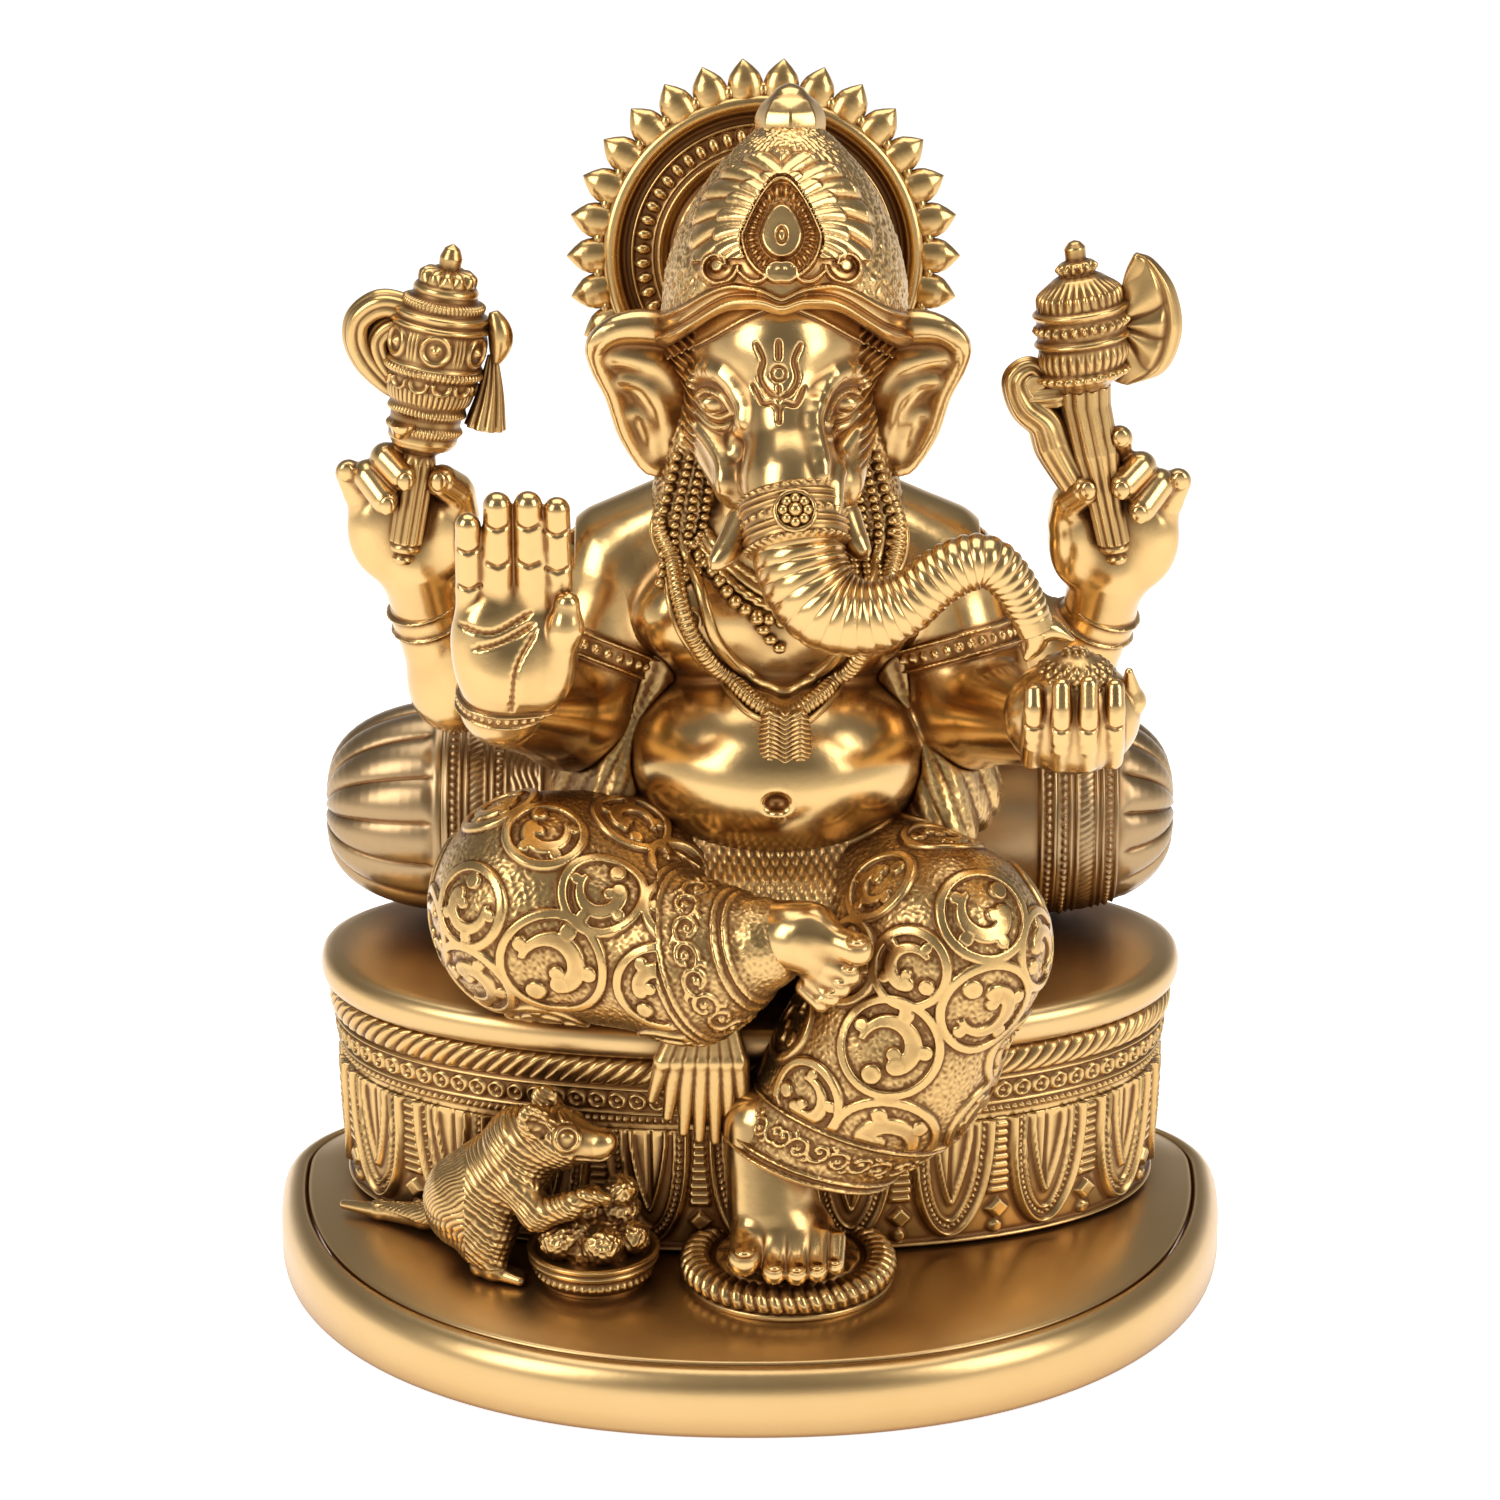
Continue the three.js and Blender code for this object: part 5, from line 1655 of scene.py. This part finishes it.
BASE_PLAN = oval_of("base_skirt", 30)
BASE_TOP = node_box("base_skirt")[1][2]
THRONE_LOW, THRONE_HIGH = node_box("throne_drum")
THRONE_PLAN = oval_of("throne_drum", 24)
PETALS_TOP = THRONE_LOW[2] + 28.6


def make_skirt():
    """The base's rounded rim and wall."""
    top = BASE_TOP
    profile = [
        (1, 0.9, 0), (1, 0.15, 0.5), (1, 0, 1.4), (1, 0, top * 0.56), (1, 0.2, top * 0.68),
        (1, 0.8, top * 0.8), (1, 1.9, top * 0.91), (1, 3.2, top * 0.98), (1, 4.4, top), (1, 5.0, top - 0.1),
        (1, 5.5, top - 0.7), (1, 6.9, top - 3.6), (1, 8.5, top - 6.6), (1, 8.5, 0.4), (1, 8.1, 0), (1, 4, 0),
    ]
    return link_grids("base_skirt_cast", [BASE_PLAN.rows(profile, 720)], ring=True)


def make_deck():
    """The plate inside the skirt, which rises in a curve from its edge to a flat middle."""
    low, top = (corner[2] for corner in node_box("deck_plate"))
    profile = [(0.01, 0, low + 3), (0.8, 0, low + 3), (1, 7.3, low)]
    profile += [(1, 6.0, BASE_TOP - 0.6), (1, 6.3, BASE_TOP - 0.05)]
    for inset in (7, 9, 12, 16, 20, 26):
        profile.append((1, inset, BASE_TOP + (top - BASE_TOP) * (1 - ((26 - inset) / 19.4) ** 2)))
    profile += [(0.6, 0, top), (0.01, 0, top)]
    return link_grids("deck_cast", [BASE_PLAN.rows(profile, 720)])


def leaf_depth(u, w, half, tall, side_power, tip_power):
    """How far inside the edge of a hanging leaf a point is; w is measured down from its top."""
    u, w = np.abs(u) / half, np.clip(w, 0, None) / tall
    f = u**side_power + w**tip_power - 1
    du = side_power * np.maximum(u, 0.05) ** (side_power - 1) / half
    dw = tip_power * w ** (tip_power - 1) / tall
    return -f / np.hypot(du, dw)


def make_throne_petals():
    """The lower part of the throne: a ring of hanging lotus petals, with jewelled bars between them."""
    petals = 20
    pitch = THRONE_PLAN.around / petals
    low, top = THRONE_LOW[2], PETALS_TOP

    def shape(u, z):
        w = top - 0.6 - z
        own = np.mod(u / pitch + 0.5, 1) * pitch - pitch / 2
        between = np.mod(u / pitch, 1) * pitch - pitch / 2
        d = leaf_depth(own, w, 9.6, 26.5, 1.9, 2.6)
        rise = 0.4 * smooth_step(0, 0.6, d) + 1.5 * bump(d - 1.1, 1.1)
        rise += 1.0 * bump(d - 3.1, 0.8) * (0.4 + 0.6 * np.cos((w * 1.05 - np.abs(own)) * TAU / 1.8))
        rise += 1.1 * bump(d - 4.8, 0.75)
        inner = leaf_depth(own, w, 4.4, 19, 1.3, 1.6)
        rise += 1.2 * bump(inner - 0.5, 0.7) * (d > 5) - 0.9 * bump(own, 0.7) * (inner > 1.2)
        bars = np.abs(np.sin(w * math.pi / 1.9)) ** 0.6 * smooth_step(2.6, 2.0, np.abs(between)) * (w < 17)
        diamond = 1.3 * smooth_step(2.9, 2.1, np.abs(between) + np.abs(w - 20.6))
        drop = 1.1 * smooth_step(1.8, 1.0, np.hypot(between, w - 25))
        gaps = np.max([bars, diamond, drop], 0) * (d < -0.3)
        foot = 1.4 * bump(z - low - 0.7, 1.0)
        return np.maximum(np.where(d > 0, rise, gaps), foot)

    wall = [(1, 4.6, low), (1, 4.0, low + 8), (1, 3.5, low + 17), (1, 3.2, low + 24), (1, 3.1, top)]
    outside = THRONE_PLAN.rows(wall, 1300, 0.3, shape)
    inside = THRONE_PLAN.rows([(1, 7.2, top), (1, 7.2, low)], 1300)
    return link_grids("throne_petals_cast", [np.concatenate([outside, inside])], ring=True)


def make_throne_bands():
    """The upper part of the throne: a thick rope, a row of rings and a row of beads."""
    low, top = PETALS_TOP, THRONE_HIGH[2]

    def shape(u, z):
        w = top - z
        rope_off = w - 3.4
        half_round = np.sqrt(np.clip(1 - (rope_off / 3.1) ** 2, 0, 1))
        twist = np.abs(np.sin((u * 0.9 + rope_off * 0.8) * math.pi / 3.0)) ** 0.7
        rise = half_round * (0.7 + 1.2 * twist)
        lines = ringed(w, [(7.3, 0.55, 0.9), (13.0, 0.55, 0.9), (low + 0.8 - top, 0.5, 0.7)])
        count = round(THRONE_PLAN.around / 4.5)
        spot = (np.mod(u / THRONE_PLAN.around * count, 1) - 0.5) * THRONE_PLAN.around / count
        r = np.hypot(spot, w - 10.1)
        rings = np.maximum(1.0 * bump(r - 1.6, 0.65), 1.0 * bump(r, 0.8)) * (r < 2.4)
        beaded = 1.0 * bump(w - 14.6, 0.9) * (0.4 + 0.6 * np.cos(u * TAU / 1.7))
        return np.max([rise, lines, rings, beaded], 0)

    wall = [(1, 3.1, low + 0.02), (1, 2.6, low + 4), (1, 2.1, low + 8), (1, 1.9, top - 1.2), (1, 2.4, top)]
    outside = THRONE_PLAN.rows(wall, 1500, 0.27, shape)
    inside = THRONE_PLAN.rows([(1, 6.6, top), (1, 7.2, low)], 1500)
    return link_grids("throne_bands_cast", [np.concatenate([outside, inside])], ring=True)


def make_slab():
    """The polished seat, with a rounded edge that stands out past the throne."""
    low, high = (corner[2] for corner in node_box("seat_slab"))
    rim = high - 0.6 - low
    edge = [
        (1, 1.6, low), (1, 0.1, low + 0.3), (1, -0.8, low + rim * 0.14), (1, -1.35, low + rim * 0.34),
        (1, -1.45, low + rim * 0.56), (1, -1.1, low + rim * 0.75), (1, -0.2, low + rim * 0.9),
        (1, 1.3, low + rim * 0.98), (1, 3.6, low + rim), (1, 8, low + rim + 0.1),
    ]
    profile = [(0.01, 0, low), (0.5, 0, low), *edge, (0.5, 0, high - 0.2), (0.01, 0, high)]
    return link_grids("seat_slab_cast", [THRONE_PLAN.rows(profile, 700)])


def band_lines(x, t, start):
    """A band round the bolster from start onwards: borders, rows of beads and fine slanting lines."""
    d = x - start
    lines = np.max([0.6 * bump(d - at, 0.5) for at in (0.6, 3.4, 4.8, 9.0, 10.4, 13.4)], 0)
    beaded = np.max([0.75 * bump(d - at, 0.8) for at in (2.0, 11.9)], 0) * (0.4 + 0.6 * np.cos(t * 80))
    slant = 0.35 * np.abs(np.sin(t * 46 + d * 1.3)) * bump(d - 6.9, 2.6)
    return np.max([lines, beaded, slant], 0) * (d > 0) * (d < 14)


def make_bolster_body():
    """The middle of the bolster, with a patterned band at each end."""
    y, z, r = BOLSTER_AXIS[1], BOLSTER_AXIS[2], BOLSTER_RADIUS
    right, left = BOLSTER_LOW[0], BOLSTER_HIGH[0]
    wide = left - right
    joint = 0.5  # each end is tucked into its cap

    def shape(h, t, radius):
        curls = 0.4 * np.abs(np.sin(h * 2.2 + 1.4 * np.sin(t * 16)))
        curls = curls * smooth_step(14, 15, h) * smooth_step(21, 20, h)
        right_band = np.max([band_lines(h, t, 0.2), curls, 0.6 * bump(h - 21, 0.6)], 0)
        return np.maximum(right_band, band_lines(h, t, wide - 3.8)) * (radius > r - 1.2)

    profile = [(0.1, -joint), (r - 1.6, -joint), (r - 0.75, -joint)]
    profile += [(r - 0.7, wide + joint), (r - 1.6, wide + joint), (0.1, wide + joint)]
    rows = turned_rows((right, y, z), (left, y, z), profile, 400, shape, 0.4)
    return link_grids("bolster_body_cast", [rows])


def make_bolster_cap(node, side):
    """A pleated end of the bolster. The left one also carries the rest of the body's band."""
    low, high = node_box(node)
    y, z, r = BOLSTER_AXIS[1], BOLSTER_AXIS[2], BOLSTER_RADIUS
    start = low[0] if side > 0 else high[0]
    tall = high[0] - low[0]
    banded = 13.6 if side > 0 else 1.5

    def shape(h, t, radius):
        pleat = np.abs(np.sin(t * 7 + 0.3)) ** 0.5
        deep = smooth_step(banded, banded + 3, h) * smooth_step(0.2, 5, radius)
        rise = (pleat - 0.75) * 1.5 * deep - 0.9 * bump(radius, 2.2) * (h > tall / 2)
        if side > 0:
            rise = rise + band_lines(h, t, -0.6)
        return rise

    profile = [(0.1, 0), (r - 0.8, 0), (r - 0.7, 0.7), (r - 0.7, 1.4)]
    for bow in np.linspace(0.08, 1, 16)[:-1] * math.pi / 2:
        profile.append(((r - 0.9) * np.cos(bow) ** 0.62, tall * np.sin(bow) ** 1.15 * 0.985))
    profile.append((0.1, tall * 0.985))
    rows = turned_rows((start, y, z), (start + side, y, z), profile, 400, shape, 0.35)
    return link_grids(node + "_cast", [rows])


# ---------------------------------------------------------------- on the deck


def make_cushion():
    """The lotus cushion under the left foot, with a ribbed rim."""
    low, high = node_box("foot_cushion")
    r, tall = (high[0] - low[0]) / 2, high[2] - low[2]
    x, y = (low[0] + high[0]) / 2, low[1] + r

    def shape(h, t, radius):
        ribs = np.abs(np.sin(t * 24 + h * 0.35)) ** 0.7
        rim = 1.1 * (ribs - 0.3) * smooth_step(r - 7.0, r - 5.4, radius) * smooth_step(1.8, 2.8, h)
        petals = 0.7 * np.abs(np.cos(t * 8)) * bump(radius - 13.6, 2.6) + 0.7 * bump(radius - 10.8, 0.6)
        groove = -0.8 * bump(radius - (r - 7.6), 0.9)
        return rim + (petals + groove) * (h > tall * 0.6)

    profile = [
        (0.1, 0), (r - 1.4, 0), (r - 0.9, 0.6), (r - 1, 1.5), (r - 2, 2), (r - 1.3, 2.8), (r - 1.1, 4),
        (r - 1.7, 5.2), (r - 3.2, 6.1), (r - 5.4, 6.2), (r - 7.4, 5.3), (r - 10, 5.4), (8, 5.8), (0.1, 6),
    ]
    rows = turned_rows((x, y, low[2]), (x, y, high[2]), profile, 420, shape, 0.3)
    return link_grids("foot_cushion_cast", [rows])


def make_mouse():
    """The mouse that sits up against the bowl, with its nose over the sweets."""
    back = limb((-58, -25, 31), (-49, -28, 42), 11, 8.6)
    head = union(
        2.5,
        limb((-48, -28.6, 46), (-40.4, -32, 48.4), 7.6, 6.2),
        limb((-40.4, -32, 48.4), (-31.6, -35.6, 48.4), 6.0, 3.6),
        ball((-30.4, -36, 49.6), (2.2, 2.0, 1.8)),
    )
    ears = [
        ball((-44.6, -36.4, 53.6), (3.5, 1.6, 4.8), (0, -34, 22)),
        ball((-42.6, -28.4, 54.8), (2.8, 1.5, 4.0), (0, -24, 0)),
    ]
    ear_hollow = ball((-44.4, -38.0, 53.6), (2.1, 1.0, 3.4), (0, -34, 22))
    eye = (-38.2, -37.4, 50.6)
    eyes = [ball(eye, (1.7, 1.0, 1.5)), ball((-36.4, -30.6, 52.6), (1.4, 1.0, 1.3))]
    arm_joints = [(-49, -34, 39), (-44.5, -38, 33.6), (-38, -40.4, 36.6), (-33, -39.6, 38.8)]
    arm = chain(1.5, arm_joints, [4.4, 3.2, 2.5, 2.1])
    fingers, toes = [], []
    for k in (-1, 0, 1):
        fingers.append(limb((-35, -40.4 + k, 39 - k * 0.6), (-30.0, -40.2 + k * 1.2, 38 - k), 1.25, 0.9))
        toes.append(limb((-57, -34 - k * 0.3, 19.6), (-48.4, -37.4 - k * 1.6, 18.6), 2.0, 1.1))
    haunch = ball((-55.4, -32, 27), (6, 5.6, 8), (0, 25, 0))
    thigh = union(2, haunch, limb((-55, -34, 24), (-54, -35.6, 20), 4, 2.8))
    tail = chain(1, [(-62, -18, 24), (-70, -12, 21), (-80, -5, 19.0), (-88.2, 0, 18.2)], [3.4, 2.7, 1.9, 1.0])
    furred = union(1.8, back, head, arm, thigh, tail)
    body = union(0.8, furred, *ears, union(0.5, *fingers), union(0.5, *toes))
    body = cut(0.4, union(0.3, body, *eyes), ear_hollow)
    mouth = chain(0.3, [land(body, x, z) for x, z in ((-29.6, 46.8), (-33, 46), (-36, 46.6))], [0.45] * 3)
    body = cut(0.3, body, mouth)

    def height(p):
        x, y, z = p.T
        run = np.where(x < -60, y * 2.0 + z, x * 0.8 + z * 1.3 - y * 0.4)
        depth = 0.2 + 0.2 * np.abs(np.sin(x * 1.1 - z * 0.9 + y))
        fur = np.abs(np.sin(run * 1.6 + 0.8 * np.sin(z * 0.8 + x * 0.6))) * depth
        ring = 0.45 * bump(length(p - np.float32(eye)) - 2.6, 0.7)
        bare = (z < 20.8) | ((x > -37) & (z > 43)) | (length(p - np.float32(eye)) < 3.4)
        return np.where(bare, 0, fur) + ring

    return sculpt_node("mouse", emboss(body, height), 3, 0.3)


BOWL_LOW, BOWL_HIGH = node_box("sweet_bowl")
BOWL_DEPTH = 10
BOWL = ((BOWL_LOW[0] + BOWL_HIGH[0]) / 2, (BOWL_LOW[1] + BOWL_HIGH[1]) / 2, BOWL_HIGH[2] - BOWL_DEPTH)


def make_bowl():
    """The beaded bowl."""
    x, y, z = BOWL

    def shape(h, t, r):
        outside = r > 10.2
        beaded = 0.8 * bump(h - 4.9, 1.3) * (0.4 + 0.6 * np.abs(np.cos(t * 22)))
        foot = 0.5 * bump(h - 2.6, 0.5)
        return np.maximum(beaded, foot) * outside * (h < 7)

    profile = [
        (0.1, 2.4), (10.6, 2.4), (11.2, 3.2), (11.9, 3.9), (12.3, 6.2), (12.5, 6.7), (13.6, 7.1),
        (13.9, 7.9), (13.3, 8.4), (13.9, 8.9), (14.1, 9.6), (13.3, BOWL_DEPTH), (12.5, 9.6), (11.6, 8.8),
        (8, 8.6), (0.1, 8.6),
    ]
    rows = turned_rows((x, y, z), (x, y, z + BOWL_DEPTH), profile, 320, shape, 0.25)
    return link_grids("sweet_bowl_cast", [rows])


def make_sweets():
    """The heap of round sweets in the bowl."""
    x, y, z = BOWL
    places = [
        (0, 0, 9.6, 8.0), (-7, -4, 12.6, 4.3), (2, -6.6, 12.8, 4.4), (8.2, -2, 12.6, 3.9), (-2, 2, 16, 4.6),
        (5.6, 2.4, 17, 4.4), (5.8, 1, 21.8, 3.7), (-3, -2.4, 13.6, 4.0),
    ]
    heap = union(0.5, *[ball((x + dx, y + dy, z + dz), (r, r, r * 0.94)) for dx, dy, dz, r in places])
    return sculpt_node("sweets", emboss(heap, lambda p: 0.32 * grain(p, 3.0)), 3, 0.28)


def make_bolt(node):
    """A hexagon-headed bolt, head down."""
    low, high = node_box(node)
    x, y = (low[0] + high[0]) / 2, (low[1] + high[1]) / 2
    angle = np.arange(6) / 6 * TAU + TAU / 12

    def ring(radius, z):
        return np.stack([x + radius * np.cos(angle), y + radius * np.sin(angle), np.full(6, z)], -1)

    z = low[2]
    head = np.stack([ring(4.6, z), ring(5.3, z + 0.5), ring(5.3, z + 3.2), ring(4.9, z + 3.6)])

    def thread(h, t, r):
        return 0.18 * np.sin((h - t / TAU) * TAU)

    top = high[2]
    profile = [(0.1, z + 3), (2.8, z + 3), (2.8, top - 0.6), (2.2, top), (0.1, top)]
    shank = turned_rows((x, y, 0), (x, y, 1), profile, 32, thread, 0.2)
    return link_grids(node + "_head", [head, shank])


# ---------------------------------------------------------------- the whole idol

place(make_torso(), POLISHED, "torso")
place(make_shawl(), CHASED)
place(make_locks(), CHASED)
for arm in ARMS:
    place(make_arm(arm), POLISHED, arm + "_arm")
for hand in HANDS:
    place(make_hand(hand), POLISHED, hand)
place(make_right_leg(), CHASED, "right_leg")
place(make_left_leg(), CHASED, "left_leg")
place(make_waist(), CHASED, "waist_wrap")
place(make_sash(), CHASED, "hanging_sash")
for foot, field in (("right_foot", right_foot), ("left_foot", left_foot)):
    place(sculpt_node(foot, field, 5, 0.32), POLISHED, foot)

place(make_head(), POLISHED, "head")
place(make_ear("right_ear", -1), POLISHED, "right_ear")
place(make_ear("left_ear", 1), POLISHED, "left_ear")
place(make_tusk("right_tusk", (-1, -31.6, 184.4), (-7.8, -39.6, 176.2)), POLISHED, "right_tusk")
place(make_tusk("left_tusk", (18.6, -32, 185.6), (23.4, -38.2, 178)), POLISHED, "left_tusk")
place(make_trunk(), POLISHED, "trunk")
place(make_trunk_band(), CHASED, "trunk_band")
place(make_crown(), BRIGHT, "crown")
place(make_finial(), POLISHED, "crown_finial")
place(make_halo(), CHASED, "halo")
place(make_halo_bracket(), POLISHED, "halo_bracket")
place(make_halo_screw(), STEEL, "halo_screw")
place(make_garland(), CHASED)
place(make_pendant(), CHASED)
place(make_collar(), CHASED)

place(make_goad(), CHASED, "goad")
place(make_axe(), CHASED, "axe")
place(make_modak(), CHASED, "modak_sweet")

place(make_skirt(), SATIN, "base_skirt")
place(make_deck(), SATIN, "deck_plate")
place(make_throne_petals(), CHASED, "throne_drum")
place(make_throne_bands(), CHASED)
place(make_slab(), SATIN, "seat_slab")
place(make_bolster_body(), SHADED_DULL, "bolster_body")
place(make_bolster_cap("bolster_cap_right", -1), SHADED_DULL, "bolster_cap_right")
place(make_bolster_cap("bolster_cap_left", 1), SHADED_DULL, "bolster_cap_left")
place(make_cushion(), CHASED, "foot_cushion")
place(make_mouse(), CHASED, "mouse")
place(make_bowl(), CHASED, "sweet_bowl")
place(make_sweets(), CHASED, "sweets")
for fastener in ("base_bolt_right", "base_bolt_left", "figure_bolt"):
    place(make_bolt(fastener), STEEL, fastener)


# ---------------------------------------------------------------- floor, lights and camera


def make_floor():
    mesh = bpy.data.meshes.new("floor")
    half = 30
    corners = [(-half, -half, 0), (half, -half, 0), (half, half, 0), (-half, half, 0)]
    mesh.from_pydata(corners, [], [(0, 1, 2, 3)])
    floor = bpy.data.objects.new("floor", mesh)
    bpy.context.scene.collection.objects.link(floor)
    material = bpy.data.materials.new("floor_paper")
    material.use_nodes = True
    shader = material.node_tree.nodes["Principled BSDF"]
    shader.inputs["Base Color"].default_value = (0.93, 0.93, 0.93, 1)
    shader.inputs["Roughness"].default_value = 0.9
    shader.inputs["Emission Color"].default_value = (1, 1, 1, 1)
    shader.inputs["Emission Strength"].default_value = 0.66
    mesh.materials.append(material)


def make_light(name, position, size, power, warm=(1, 1, 1), aim=(0, 0, 0.12)):
    light = bpy.data.lights.new(name, "AREA")
    light.shape = "RECTANGLE"
    light.size, light.size_y = size
    light.energy = power
    light.color = warm
    lamp = bpy.data.objects.new(name, light)
    lamp.location = position
    lamp.rotation_euler = (Vector(aim) - Vector(position)).to_track_quat("-Z", "Y").to_euler()
    bpy.context.scene.collection.objects.link(lamp)


def make_world():
    """A studio that is pale low down and dim overhead."""
    world = bpy.data.worlds.new("studio")
    world.use_nodes = True
    nodes, links = world.node_tree.nodes, world.node_tree.links
    ramp = nodes.new("ShaderNodeValToRGB")
    split = nodes.new("ShaderNodeSeparateXYZ")
    height = nodes.new("ShaderNodeMapRange")
    height.inputs["From Min"].default_value = -0.2
    links.new(nodes.new("ShaderNodeTexCoord").outputs["Generated"], split.inputs[0])
    links.new(split.outputs["Z"], height.inputs["Value"])
    links.new(height.outputs[0], ramp.inputs[0])
    stops = ramp.color_ramp.elements
    stops[0].position, stops[0].color = 0.1, (0.95, 0.95, 0.95, 1)
    stops[1].position, stops[1].color = 1.0, (0.3, 0.3, 0.3, 1)
    middle = stops.new(0.5)
    middle.color = (0.19, 0.185, 0.18, 1)
    links.new(ramp.outputs[0], nodes["Background"].inputs["Color"])
    bpy.context.scene.world = world


def make_camera():
    camera = bpy.data.cameras.new("camera")
    camera.lens = 125.4
    camera.sensor_width = 36
    camera.dof.use_dof = False
    eye = bpy.data.objects.new("camera", camera)
    eye.location = (0, -1.0337, 0.4995)
    eye.rotation_euler = (Vector((0, 0, 0.1233)) - eye.location).to_track_quat("-Z", "Y").to_euler()
    bpy.context.scene.collection.objects.link(eye)
    bpy.context.scene.camera = eye


make_floor()
make_world()
make_light("left_softbox", (-0.75, -0.6, 0.7), (0.5, 0.7), 6.0)
make_light("right_softbox", (0.8, -0.5, 0.65), (0.45, 0.7), 4.7)
make_light("top_softbox", (0, 0.15, 1.1), (1.0, 0.7), 5.4)
make_camera()
view = bpy.context.scene.view_settings
view.view_transform = "Standard"
view.look = "None"
